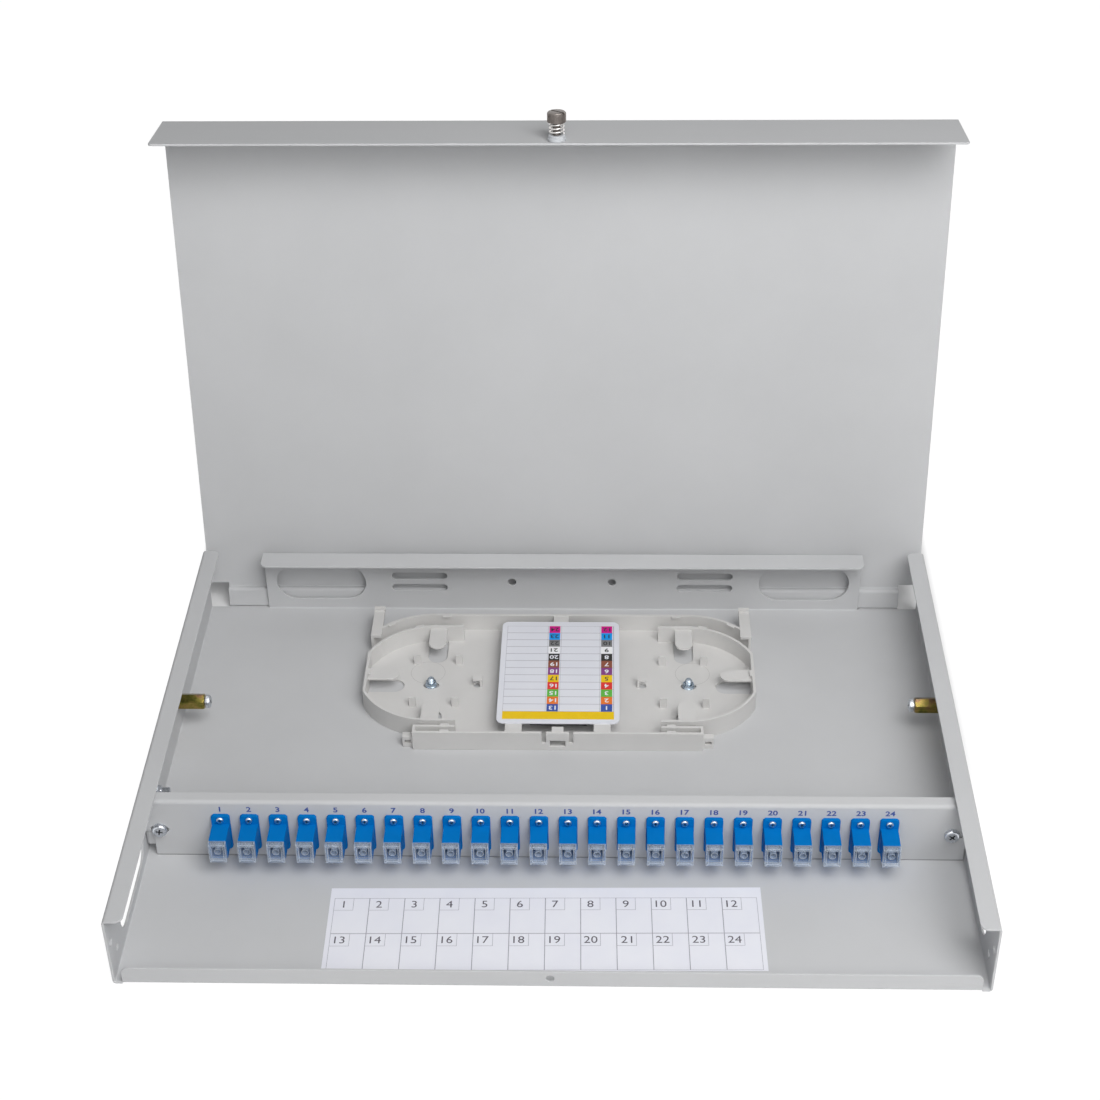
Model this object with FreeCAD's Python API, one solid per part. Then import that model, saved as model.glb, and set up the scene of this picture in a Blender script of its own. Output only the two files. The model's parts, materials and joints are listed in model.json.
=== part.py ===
import FreeCAD, Part
import math
import os

# Fibre patch panel: a folded sheet tray with a row of fibre adapters, a moulded splice tray
# and a lift-off cover that stands parked behind the rear wall, leaning back.
# Millimetres. X to the right, Y to the rear, Z up. Origin: middle of the tray's underside.

# Sheet metal
sheet = 1.2                 # thickness of each folded sheet
bend = 0.8                  # inside radius of a fold
fold_leg = 6.0              # strip of floor that goes with each edge folded up from it
fit = 0.05                  # gap around a pressed-in or screwed-in piece
running = 0.1               # gap around a shaft that turns or slides
clear = 0.3                 # gap between pieces that move past each other

# Tray
tray_width = 430.0
tray_depth = 304.0
wall_height = 43.0
side_flange = 10.0
flange_corner = 4.0
lip_inset = 5.0             # from the tray's outer side to the lip's end
lip_height = 11.0
lip_corner = 4.0
rear_wall_inset = 36.25     # from the tray's outer side to the rear wall's end
rear_wall_drop = 0.6        # rear wall's top below the side walls' tops
rear_flange = 15.0

# Openings in the tray's walls, set out from the front edge and the underside
side_slot_length = 59.0
side_slot_width = 20.0
side_slot_setback = 55.0
side_slot_height = 16.7
ear_hole_radius = 2.0
ear_hole_spread = (8.5, 12.0)    # between the two holes, along the wall and up it
ear_holes_setback = 9.6
ear_holes_height = 17.6
cable_hole_length = 54.0
cable_hole_width = 25.0
cable_hole_inset = 33.45    # from the rear wall's end to the hole's middle
cable_hole_height = 20.8
tie_slot_length = 33.4
tie_slot_width = 5.0
tie_slot_step = 59.5        # from the cable hole's middle to the tie slots' middle
tie_slot_spacing = 8.6
tie_slots_height = 21.3
rear_hole_radius = 2.5
rear_hole_offset = 30.0
rear_hole_height = 21.2

# Cover and the rear tabs that it stands on when parked
cover_lean = 7.5            # degrees back from upright
cover_flange = 43.0
cover_corner = 2.0
joggle = 3.4                # step from the panel to the hooked tongue
tongue_inset = 12.0         # from the tray's outer side to the tongue's end
tongue_length = 10.7
tongue_gap = 0.5            # between the tongue's back and the tabs when upright
tongue_stop = 0.12          # left between the leaning tongue and the rear wall
tab_gap = 1.0               # between the rear wall's end and the tab beside it
tab_height = 12.0

# Captive screw on the cover's flange
screw_inset = 5.2           # from the flange's free edge
screw_travel = 2.8
shank_radius = 2.0
groove_radius = 1.7
head_radius = 5.0
head_height = 5.5
head_chamfer = 0.8
head_slot = 1.2
head_slot_angle = -38.0
ferrule_radius = 5.0
ferrule_top_radius = 4.5
ferrule_step = 1.8
ferrule_web = 0.8
ferrule_spigot = 4.25
ring_thickness = 0.6
ring_wall = 1.2
spring_length = 6.8
spring_wire = 0.9
spring_radius = 3.7
spring_turns = 3.0
lip_hole_radius = 2.1

# Adapter plate and its fixings
plate_setback = 88.9
plate_top = 39.0
plate_flange = 7.2
plate_end_gap = 1.0         # keeps the ends clear of the folds at the floor
plate_relief = (4.0, 17.0)       # notch at the lower left corner, across and up
plate_screw_inset = 8.6     # from the side wall's inner face
plate_screw_height = 19.4
plate_slot = (9.4, 4.6)
pan_head_radius = 4.0
pan_head_height = 2.4
plate_screw_length = 8.0
angle_leg = 14.0
angle_height = 23.0

# Fibre adapters
adapter_count = 24
adapter_inset = 42.5        # from the tray's outer side to the first adapter's middle
adapter_height = 19.2
adapter_flange = (9.6, 22.8, 2.0)
adapter_corner = 1.0
adapter_body = (8.9, 12.2)
adapter_front = 14.5
adapter_rear = 12.5
adapter_wall = 0.8
port_depth = 10.5
window_gap = 0.15
adapter_screw_spread = 18.0
adapter_screw_radius = 1.9
adapter_screw_sides = 10
adapter_screw_height = 1.2
cap_hood = 3.2
cap_plug = 7.5
cap_wall = 0.9
cap_gap = 0.1

# Index label on the tray's floor
label_size = (220.4, 57.0)
label_middle = (-3.5, 38.0)
label_turn = 0.8
label_thickness = 0.2

# Moulded splice tray
splice_middle = 227.0       # from the tray's front edge
splice_floor = 1.6
splice_wall = 1.6
splice_top = 13.8           # above the tray's underside
rim_offset = 72.2           # middle of each rounded end
rim_radius = 43.3
rim_flat = 111.8            # flattened ends of the rim
rim_open = 57.4             # half the opening between the two ends
back_setback = 281.3
back_half_width = 74.5
back_radius = 45.5
back_end_setback = 261.5
arm_width = 6.4
arm_offset = 108.6
arm_reach = 5.8
arm_thickness = 2.0
arm_ridge = 1.0
front_setback = 173.2
front_half_width = 80.8
channel_wall_setback = 178.4
hinge_eye = (5.8, 4.0, 7.5)
eye_setback = 2.2           # behind the front wall's face
eye_hole = (3.4, 2.4)
notch_offset = 7.6
notch_width = 2.4
notch_depth = 7.3
latch_window = (8.6, 4.2)
latch_window_height = 3.9
latch_tab = (6.6, 4.0, 1.2)
keeper_offset = 72.2        # fingers over the loop space, along X
keeper_width = 10.0
keeper_length = 18.9
keeper_thickness = 1.2
keeper_drop = 1.8
keeper_slot_gap = 0.6
post_size = (4.0, 1.5, 6.8)
post_columns = (59.3, 83.6)
post_rows = (209.0, 247.2)
hook_offset = 45.4
hook_size = (1.4, 4.0, 5.7)
hook_reach = 4.6
hook_hole_radius = 2.2
hook_setback = 228.0
rest_offset = 24.7
rest_width = 9.4
rest_thickness = 1.4
rear_rest_width = 9.0
lug_size = (5.0, 1.2, 1.2)  # snap lugs: along the wall, out from it, down from its top
front_lug_offset = 63.1
back_lug_offset = 68.2
back_lug_angle = 54.0       # degrees round the rear corners
rim_lug_angle = 75.0

# Studs and nuts
stud_radius = 2.0
stud_offset = 74.3
stud_setback = 227.6
stud_height = 8.2
stud_slot = (9.0, 5.0)
nut_flats = 5.8
nut_height = 2.4
nut_flange_radius = 3.5
nut_flange_height = 0.8
earth_setback = 124.0
earth_height = 14.0
earth_reach = 7.0

# Splice holder and its label card
holder_width = 32.0
holder_base = 1.6
holder_ribs = 13
holder_rib = 1.6
holder_length = 78.0
holder_lid = 0.9
lid_margin = 0.4            # lid's front edge behind the card's
card_size = (68.8, 92.0)
card_setback = 227.4
card_corner = 4.0
card_thickness = 0.5
card_rest = 0.4             # card's underside below the splice tray's rim

# Hex standoffs on the side walls
standoff_flats = 8.0
standoff_length = 15.8
standoff_chamfer = 0.8
standoff_spigot = 2.6
standoff_setback = 191.5
standoff_height = 20.0
standoff_screw_radius = 1.6
standoff_head_radius = 3.75
standoff_head_height = 2.4
standoff_screw_depth = 8.0
standoff_screw_gap = 0.8    # head clear of the standoff's end

# Places worked out from the sizes above
Vec = FreeCAD.Vector
X, Y, Z = Vec(1, 0, 0), Vec(0, 1, 0), Vec(0, 0, 1)
front = -tray_depth / 2
rear = tray_depth / 2
side = tray_width / 2
inner_side = side - sheet
lip_width = tray_width - 2 * lip_inset
rear_wall_width = tray_width - 2 * rear_wall_inset
cable_hole_offset = rear_wall_width / 2 - cable_hole_inset
tie_slot_offset = cable_hole_offset - tie_slot_step
tongue_width = tray_width - 2 * tongue_inset
tab_width = (tongue_width - rear_wall_width) / 2 - tab_gap
tab_offset = (tongue_width - tab_width) / 2
plate_screw_offset = inner_side - plate_screw_inset
adapter_pitch = (tray_width - 2 * adapter_inset) / (adapter_count - 1)
rear_top = wall_height - rear_wall_drop
plate_y = front + plate_setback
plate_back = plate_y + sheet
splice_base = sheet + splice_floor
card_z = splice_top - card_rest


def box(x0, x1, y0, y1, z0, z1):
    return Part.makeBox(x1 - x0, y1 - y0, z1 - z0, Vec(x0, y0, z0))


def rod(radius, start, direction, length):
    return Part.makeCylinder(radius, length, start, direction)


def mirrored(shape):
    return shape.mirror(Vec(0, 0, 0), X)


def both_sides(shape):
    return [shape, mirrored(shape)]


def fused(shapes):
    return shapes[0].multiFuse(shapes[1:]).removeSplitter()


# Obround prism: long side along one direction, cut through along another.
def obround(middle, along, through, length, width, depth):
    radius = width / 2
    across = through.cross(along) * radius
    reach = along * (length / 2 - radius)
    tip = along * (length / 2)
    start = middle - through * (depth / 2)
    near, far = start + reach, start - reach
    corners = [near - across, near + across, far + across, far - across]
    edges = [
        Part.Arc(corners[0], start + tip, corners[1]).toShape(),
        Part.LineSegment(corners[1], corners[2]).toShape(),
        Part.Arc(corners[2], start - tip, corners[3]).toShape(),
        Part.LineSegment(corners[3], corners[0]).toShape(),
    ]
    return Part.Face(Part.Wire(edges)).extrude(through * depth)


# Rectangle with rounded corners, lying flat.
def rounded_plate(width, length, corner, z0, thickness):
    plate = box(-width / 2, width / 2, -length / 2, length / 2, z0, z0 + thickness)
    return soften(plate, corner, lambda edge: edge.BoundBox.ZLength > thickness / 2)


# Closed ring of straight edges on a circle about the Z axis.
def ring_of(sides, radius):
    angles = [2 * math.pi * step / sides for step in range(sides + 1)]
    return Part.makePolygon([Vec(radius * math.cos(a), radius * math.sin(a), 0) for a in angles])


def prism(sides, radius, start, direction, length):
    shape = Part.Face(ring_of(sides, radius)).extrude(Z * length)
    shape.Placement = FreeCAD.Placement(start, FreeCAD.Rotation(Z, direction))
    return shape


def hexagon(flats, start, direction, length):
    return prism(6, flats / math.sqrt(3), start, direction, length)


# Fillet the edges that a test picks out.
def soften(shape, radius, picks):
    return shape.makeFillet(radius, [edge for edge in shape.Edges if picks(edge)])


# Test for an edge that runs along one axis, at given distances from the middle along the others.
def runs_along(axis, **places):
    def picks(edge):
        bounds = edge.BoundBox
        spans = {"x": bounds.XLength, "y": bounds.YLength, "z": bounds.ZLength}
        middle = {"x": bounds.Center.x, "y": bounds.Center.y, "z": bounds.Center.z}
        straight = all(spans[name] < 0.01 for name in spans if name != axis)
        misses = [abs(abs(middle[name]) - abs(place)) for name, place in places.items()]
        return straight and max(misses) < 0.01
    return picks


def offset_line(points, distance):
    lines = []
    for (u0, v0), (u1, v1) in zip(points, points[1:]):
        length = math.hypot(u1 - u0, v1 - v0)
        du, dv = (u1 - u0) / length, (v1 - v0) / length
        lines.append((u0 - dv * distance, v0 + du * distance, du, dv))
    moved = [lines[0][:2]]
    for (ua, va, da, ea), (ub, vb, db, eb) in zip(lines, lines[1:]):
        step = ((ub - ua) * eb - (vb - va) * db) / (da * eb - ea * db)
        moved.append((ua + da * step, va + ea * step))
    last_u, last_v = points[-1]
    moved.append((last_u - lines[-1][3] * distance, last_v + lines[-1][2] * distance))
    return moved


def turn_at(points, index):
    (u0, v0), (u1, v1), (u2, v2) = points[index - 1:index + 2]
    du, dv, eu, ev = u1 - u0, v1 - v0, u2 - u1, v2 - v1
    return math.atan2(du * ev - dv * eu, du * eu + dv * ev)


# Edges along a line of points, with an arc at each inner corner.
def rounded_line(points, radii, place):
    edges = []
    start = place(*points[0])
    for index in range(1, len(points) - 1):
        corner = place(*points[index])
        turn = abs(turn_at(points, index))
        back = (place(*points[index - 1]) - corner).normalize()
        ahead = (place(*points[index + 1]) - corner).normalize()
        tangent = radii[index] * math.tan(turn / 2)
        depth = radii[index] * (1 / math.cos(turn / 2) - 1)
        middle = corner + (back + ahead).normalize() * depth
        edges.append(Part.LineSegment(start, corner + back * tangent).toShape())
        edges.append(Part.Arc(corner + back * tangent, middle, corner + ahead * tangent).toShape())
        start = corner + ahead * tangent
    edges.append(Part.LineSegment(start, place(*points[-1])).toShape())
    return edges


# Sheet folded along a line of points. The sheet lies to the left of the line (hand 1) or to its right (-1).
def folded(points, hand, place, sweep):
    other = offset_line(points, hand * sheet)
    near, far = {}, {}
    for index in range(1, len(points) - 1):
        inside = turn_at(points, index) * hand > 0
        near[index] = bend + sheet if inside else bend
        far[index] = bend if inside else bend + sheet
    edges = rounded_line(points, near, place) + rounded_line(other, far, place)
    edges.append(Part.LineSegment(place(*points[0]), place(*other[0])).toShape())
    edges.append(Part.LineSegment(place(*points[-1]), place(*other[-1])).toShape())
    wire = Part.Wire(Part.__sortEdges__(edges))
    return Part.Face(wire).extrude(sweep)


# Sheet folded in side view, spread evenly about a middle along X.
def folded_across(points, hand, middle, width):
    return folded(points, hand, lambda y, z: Vec(middle - width / 2, y, z), X * width)


def save(name, shapes):
    shape = shapes[0] if len(shapes) == 1 else Part.makeCompound(shapes)
    shape.exportStep("parts/" + name + ".step")


# The parked cover tilts about the rounded tops of the rear tabs. In its own upright frame, with
# that line as zero, the tongue hangs in front of the tabs and the ledge passes over them.
lean = math.radians(cover_lean)
tab_round = sheet / 2
tongue_face = -(tab_round + tongue_gap + sheet)
ledge_top = tab_round + clear + sheet
tongue_end = ledge_top - sheet - tongue_length
panel_face = tongue_face + joggle
tilt_y = rear + tongue_stop - tongue_face * math.cos(lean) - tongue_end * math.sin(lean)
tilt_z = tab_height - tab_round

# Closed, the flange hangs in front of the lip and the ledge stops short of the rear wall's flange.
panel_length = (rear - rear_flange - clear) - (front - clear - sheet)
cover_top = ledge_top - sheet + panel_length
flange_edge = panel_face + sheet - cover_flange
screw_y = flange_edge + screw_inset
lip_hole_height = wall_height + sheet - cover_flange + screw_inset


# Place a piece of the cover from its own upright frame into the tray's frame.
def parked(shape):
    shape.rotate(Vec(0, 0, 0), X, -cover_lean)
    shape.translate(Vec(0, tilt_y, tilt_z))
    return shape


def tray():
    walls = [(side_flange - side, wall_height), (-side, wall_height), (-side, 0),
             (side, 0), (side, wall_height), (side - side_flange, wall_height)]
    shell = folded(walls, 1, lambda x, z: Vec(x, front, z), Y * tray_depth)
    shell = soften(shell, flange_corner, runs_along("z", x=side - side_flange, y=front))

    lip_line = [(front + fold_leg, 0), (front, 0), (front, lip_height)]
    lip = folded_across(lip_line, -1, 0, lip_width)
    lip = soften(lip, lip_corner, runs_along("y", x=lip_width / 2, z=lip_height))
    rear_line = [(rear - fold_leg, 0), (rear, 0), (rear, rear_top), (rear - rear_flange, rear_top)]
    rear_wall = folded_across(rear_line, 1, 0, rear_wall_width)
    rear_corner = runs_along("z", x=rear_wall_width / 2, y=rear - rear_flange)
    rear_wall = soften(rear_wall, flange_corner, rear_corner)
    tab_line = [(rear - fold_leg, 0), (tilt_y + tab_round, 0), (tilt_y + tab_round, tilt_z)]
    tab = folded_across(tab_line, 1, tab_offset, tab_width)
    tab_top = rod(tab_round, Vec(tab_offset - tab_width / 2, tilt_y, tilt_z), X, tab_width)

    room = sheet + bend
    shell = shell.cut(box(-lip_width / 2, lip_width / 2, front, front + fold_leg, 0, room))
    shell = shell.cut(box(-rear_wall_width / 2, rear_wall_width / 2, rear - fold_leg, rear, 0, room))
    shell = fused([shell, lip, rear_wall] + both_sides(tab) + both_sides(tab_top))

    across = 2 * tray_width
    slot = Vec(0, front + side_slot_setback, side_slot_height)
    holes = [
        obround(slot, Y, X, side_slot_length, side_slot_width, across),
        rod(lip_hole_radius, Vec(0, front - sheet, lip_hole_height), Y, 3 * sheet),
    ]
    for sign in (-1, 1):
        y = front + ear_holes_setback + sign * ear_hole_spread[0] / 2
        z = ear_holes_height - sign * ear_hole_spread[1] / 2
        holes.append(rod(ear_hole_radius, Vec(-tray_width, y, z), X, across))
        hole = Vec(sign * rear_hole_offset, rear - 2 * sheet, rear_hole_height)
        holes.append(rod(rear_hole_radius, hole, Y, 3 * sheet))
        middle = Vec(sign * cable_hole_offset, rear, cable_hole_height)
        holes.append(obround(middle, X, Y, cable_hole_length, cable_hole_width, 4 * sheet))
        for step in (-1, 1):
            middle = Vec(sign * tie_slot_offset, rear, tie_slots_height + step * tie_slot_spacing / 2)
            holes.append(obround(middle, X, Y, tie_slot_length, tie_slot_width, 4 * sheet))
        stud = Vec(sign * stud_offset, front + stud_setback, -sheet)
        holes.append(rod(stud_radius + fit, stud, Z, 3 * sheet))
    spigot = Vec(-tray_width, front + standoff_setback, standoff_height)
    holes.append(rod(standoff_spigot + fit, spigot, X, across))
    earth = Vec(-side - sheet, front + earth_setback, earth_height)
    holes.append(rod(stud_radius + fit, earth, X, 3 * sheet))
    return shell.cut(Part.makeCompound(holes))


def cover():
    hooked = [(tongue_face, tongue_end), (tongue_face, ledge_top), (panel_face, ledge_top),
              (panel_face, cover_top - sheet), (flange_edge, cover_top - sheet)]
    middle = folded_across(hooked, -1, 0, tongue_width)
    above = ledge_top + bend + sheet
    full = folded_across([(panel_face, above)] + hooked[3:], -1, 0, tray_width)
    shell = fused([middle, full])
    shell = soften(shell, cover_corner, runs_along("z", x=tray_width / 2, y=flange_edge))
    hole = rod(ferrule_spigot + fit, Vec(0, screw_y, cover_top - 2 * sheet), Z, 3 * sheet)
    return parked(shell.cut(hole))


# The captive screw's pieces stand on the flange's outer face, along one line.
def along_screw(radius, z0, z1):
    return rod(radius, Vec(0, screw_y, cover_top + z0), Z, z1 - z0)


ferrule_height = ferrule_web + ring_thickness + screw_travel + 2 * running - sheet
ring_top = ferrule_height - ferrule_web - running
ring_bottom = ring_top - ring_thickness
bore_radius = shank_radius + running
ring_inner = groove_radius + running
ring_outer = ring_inner + ring_wall
head_bottom = ferrule_height + spring_length


def screw_ferrule():
    outside = fused([along_screw(ferrule_radius, 0, ferrule_step),
                     along_screw(ferrule_top_radius, ferrule_step, ferrule_height),
                     along_screw(ferrule_spigot, -sheet, 0)])
    hollow = fused([along_screw(ring_outer + clear, -sheet, ferrule_height - ferrule_web),
                    along_screw(bore_radius, 0, ferrule_height)])
    return parked(outside.cut(hollow))


def screw_spring():
    rise = spring_length - spring_wire - 2 * fit
    start = Vec(0, screw_y, cover_top + ferrule_height + fit + spring_wire / 2)
    path = Part.makeHelix(rise / spring_turns, rise, spring_radius)
    path.translate(start)
    section = ring_of(8, spring_wire / 2)
    section.Placement = FreeCAD.Placement(start + X * spring_radius, FreeCAD.Rotation(X, 90))
    return parked(Part.Wire(path).makePipeShell([section], True, True))


def retaining_ring():
    ring = along_screw(ring_outer, ring_bottom, ring_top)
    return parked(ring.cut(along_screw(ring_inner, ring_bottom, ring_top)))


def thumb_screw():
    head = along_screw(head_radius, head_bottom, head_bottom + head_height)
    top = cover_top + head_bottom + head_height
    rim = [edge for edge in head.Edges if abs(edge.BoundBox.ZMin - top) < 0.01]
    head = head.makeChamfer(head_chamfer, rim)
    slot = box(-head_radius, head_radius, -head_slot / 2, head_slot / 2, top - head_slot, top)
    slot.rotate(Vec(0, 0, 0), Z, head_slot_angle)
    slot.translate(Vec(0, screw_y, 0))
    shank = fused([along_screw(shank_radius, ring_top + running, head_bottom),
                   along_screw(groove_radius, ring_bottom - running, ring_top + running),
                   along_screw(shank_radius, -sheet + running, ring_bottom - running)])
    return parked(fused([head.cut(slot), shank]))


def adapter_places():
    first = -adapter_pitch * (adapter_count - 1) / 2
    return [first + adapter_pitch * index for index in range(adapter_count)]


def adapter_plate():
    end = inner_side - plate_end_gap
    line = [(plate_y, sheet), (plate_y, plate_top), (plate_y + plate_flange, plate_top)]
    plate = folded_across(line, -1, 0, 2 * end)
    half_width = adapter_body[0] / 2 + window_gap
    half_height = adapter_body[1] / 2 + window_gap
    cuts = [box(x - half_width, x + half_width, plate_y - sheet, plate_back + sheet,
                adapter_height - half_height, adapter_height + half_height) for x in adapter_places()]
    hole = Vec(-plate_screw_offset, plate_y + sheet / 2, plate_screw_height)
    cuts.append(obround(hole, X, Y, plate_slot[0], plate_slot[1], 3 * sheet))
    open_length = 2 * (end - plate_screw_offset + plate_slot[1] / 2)
    cuts.append(obround(Vec(end, hole.y, hole.z), X, Y, open_length, plate_slot[1], 3 * sheet))
    cuts.append(box(-end, plate_relief[0] - end, plate_y - sheet, plate_back + sheet,
                    0, sheet + plate_relief[1]))
    return plate.cut(Part.makeCompound(cuts))


def plate_angle():
    line = [(inner_side - angle_leg, plate_back), (inner_side, plate_back),
            (inner_side, plate_back + angle_leg)]
    bottom = plate_screw_height - angle_height / 2
    angle = folded(line, 1, lambda x, y: Vec(x, y, bottom), Z * angle_height)
    hole = Vec(plate_screw_offset, plate_back - sheet, plate_screw_height)
    return angle.cut(rod(shank_radius + fit, hole, Y, 3 * sheet))


def plate_screw():
    seat = Vec(plate_screw_offset, plate_y, plate_screw_height)
    head = rod(pan_head_radius, seat - Y * pan_head_height, Y, pan_head_height)
    return fused([head, rod(shank_radius, seat, Y, plate_screw_length)])


# One adapter: a flange on the plate's front, a body through the plate, and a port at each end.
def adapter(x):
    width, height, thickness = adapter_flange
    flange = box(x - width / 2, x + width / 2, plate_y - thickness, plate_y,
                 adapter_height - height / 2, adapter_height + height / 2)
    corners = [edge for edge in flange.Edges if edge.BoundBox.YLength > thickness / 2]
    flange = flange.makeChamfer(adapter_corner, corners)
    half_width, half_height = adapter_body[0] / 2, adapter_body[1] / 2
    near, far = plate_y - adapter_front, plate_back + adapter_rear
    low, high = adapter_height - half_height, adapter_height + half_height
    body = box(x - half_width, x + half_width, near, far, low, high)
    ports = [box(x - half_width + adapter_wall, x + half_width - adapter_wall, y, y + port_depth,
                 low + adapter_wall, high - adapter_wall) for y in (near, far - port_depth)]
    return fused([flange, body]).cut(Part.makeCompound(ports))


def adapter_screws():
    seat = plate_y - adapter_flange[2]
    heights = [adapter_height + sign * adapter_screw_spread / 2 for sign in (1, -1)]
    return [prism(adapter_screw_sides, adapter_screw_radius, Vec(x, seat, z), -Y, adapter_screw_height)
            for x in adapter_places() for z in heights]


# Clear plug that closes a port: a hood outside, a plug inside, hollow from its outer end.
def dust_cap(x, mouth, outwards):
    half_width, half_height = adapter_body[0] / 2, adapter_body[1] / 2
    inset = adapter_wall + cap_gap

    def block(shrink, start, end):
        low, high = sorted((mouth + outwards * start, mouth + outwards * end))
        return box(x - half_width + shrink, x + half_width - shrink, low, high,
                   adapter_height - half_height + shrink, adapter_height + half_height - shrink)

    cap = fused([block(0, 0, cap_hood), block(inset, -cap_plug, 0)])
    return cap.cut(block(inset + cap_wall, cap_wall - cap_plug, cap_hood))


def index_label():
    label = box(-label_size[0] / 2, label_size[0] / 2, -label_size[1] / 2, label_size[1] / 2,
                sheet, sheet + label_thickness)
    label.rotate(Vec(0, 0, 0), Z, label_turn)
    label.translate(Vec(label_middle[0], front + label_middle[1], 0))
    return label


# Rounded outline of the splice tray's rim, drawn in by an amount.
def rim_block(inset, z0, z1):
    radius = rim_radius - inset
    y = front + splice_middle
    ends = both_sides(rod(radius, Vec(rim_offset, y, z0), Z, z1 - z0))
    middle = box(-rim_offset, rim_offset, y - radius, y + radius, z0, z1)
    reach = rim_flat - inset
    return fused(ends + [middle]).common(box(-reach, reach, y - radius, y + radius, z0, z1))


# Outline of the rear wall that runs outside the rim, drawn in by an amount.
def back_block(inset, z0, z1):
    radius = back_radius - inset
    y = front + back_setback - back_radius
    ends = both_sides(rod(radius, Vec(back_half_width, y, z0), Z, z1 - z0))
    middle = box(-back_half_width, back_half_width, y, y + radius, z0, z1)
    return fused(ends + [middle]).common(box(-rim_flat, rim_flat, y, y + radius, z0, z1))


# Finger over the loop space: from the rim inwards, with a rounded tip.
def keeper(root, inwards, z0, thickness, spare=0):
    width = keeper_width + 2 * spare
    length = 2 * (keeper_length + spare)
    middle = Vec(root.x, root.y, z0 + thickness / 2)
    whole = obround(middle, inwards, Z, length, width, thickness)
    reach = keeper_length + width
    start, end = root - inwards * splice_wall / 2, root + inwards * reach
    sideways = Vec(inwards.y, inwards.x, 0) * width
    corners = [start - sideways, start + sideways, end - sideways, end + sideways]
    keep = box(min(c.x for c in corners), max(c.x for c in corners),
               min(c.y for c in corners), max(c.y for c in corners), z0 - thickness, z0 + 2 * thickness)
    return whole.common(keep)


def keeper_roots():
    y = front + splice_middle
    reach = rim_radius - splice_wall / 2
    return [(Vec(keeper_offset, y + reach, 0), -Y), (Vec(keeper_offset, y - reach, 0), Y),
            (Vec(rim_flat - splice_wall / 2, y, 0), -X)]


def splice_arm():
    y0, y1 = front + back_end_setback - splice_wall, front + back_setback + arm_reach
    x0, x1 = arm_offset - arm_width / 2, arm_offset + arm_width / 2
    finger = box(x0, x1, y0, y1, splice_top - arm_thickness, splice_top)
    web = box(x1 - splice_wall, x1, y0, front + back_setback, sheet, splice_top)
    ridges = [box(x0, x1, y1 - step * arm_ridge, y1 - (step - 1) * arm_ridge,
                  splice_top, splice_top + arm_ridge) for step in (1, 4)]
    return fused([finger, web] + ridges)


def splice_front():
    y = front + front_setback
    wall = box(-front_half_width, front_half_width, y, y + splice_wall, sheet, splice_top)
    notches = both_sides(box(notch_offset - notch_width / 2, notch_offset + notch_width / 2,
                             y, y + splice_wall, splice_top - notch_depth, splice_top))
    window = box(-latch_window[0] / 2, latch_window[0] / 2, y, y + splice_wall,
                 latch_window_height, latch_window_height + latch_window[1])
    wall = wall.cut(Part.makeCompound(notches + [window]))
    tab = box(-latch_tab[0] / 2, latch_tab[0] / 2, y, y + splice_wall + latch_tab[1],
              splice_top - latch_tab[2], splice_top)
    channel = front + channel_wall_setback
    inner = box(rim_open, front_half_width, channel, channel + splice_wall, sheet, splice_top)
    closing = box(front_half_width - splice_wall, front_half_width, y, channel, sheet, splice_top)
    eye_y = y + eye_setback
    eye = box(front_half_width, front_half_width + hinge_eye[0], eye_y, eye_y + hinge_eye[1],
              sheet, sheet + hinge_eye[2])
    hole_x, hole_z = front_half_width + hinge_eye[0] / 2, sheet + hinge_eye[2] / 2
    eye = eye.cut(box(hole_x - eye_hole[0] / 2, hole_x + eye_hole[0] / 2, eye_y, eye_y + hinge_eye[1],
                      hole_z - eye_hole[1] / 2, hole_z + eye_hole[1] / 2))
    rest = box(rest_offset - rest_width / 2, rest_offset + rest_width / 2, y, front + card_setback
               - card_size[1] / 2 + rest_thickness, card_z - rest_thickness, card_z)
    pieces = [wall, tab]
    for piece in (inner, closing, eye, rest):
        pieces += both_sides(piece)
    return pieces


# Small lug that stands out from the top of a wall.
def snap_lug(root, facing):
    width, reach, height = lug_size
    lug = box(-width / 2, width / 2, -splice_wall / 2, reach, splice_top - height, splice_top)
    lug.rotate(Vec(0, 0, 0), Z, math.degrees(math.atan2(-facing.x, facing.y)))
    lug.translate(root)
    return lug


def snap_lugs():
    lugs = [snap_lug(Vec(front_lug_offset, front + setback + splice_wall, 0), Y)
            for setback in (front_setback, channel_wall_setback)]
    lugs.append(snap_lug(Vec(back_lug_offset, front + back_setback - splice_wall, 0), -Y))
    lugs.append(snap_lug(Vec(rim_flat - splice_wall, front + splice_middle, 0), -X))
    turn = math.radians(back_lug_angle)
    facing = Vec(math.cos(turn), math.sin(turn), 0)
    middle = Vec(back_half_width, front + back_setback - back_radius, 0)
    lugs.append(snap_lug(middle + facing * (back_radius - splice_wall), -facing))
    turn = math.radians(rim_lug_angle)
    facing = Vec(math.cos(turn), math.sin(turn), 0)
    lugs.append(snap_lug(Vec(rim_offset, front + splice_middle, 0) + facing * rim_radius, facing))
    return lugs


def splice_hook():
    y = front + hook_setback
    thickness, width, height = hook_size
    top = splice_base + height
    y0, y1 = y - width / 2, y + width / 2
    post = box(hook_offset - thickness / 2, hook_offset + thickness / 2, y0, y1, splice_base, top)
    finger = box(hook_offset, hook_offset + hook_reach, y0, y1, top - thickness, top)
    return fused([post, finger])


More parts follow.
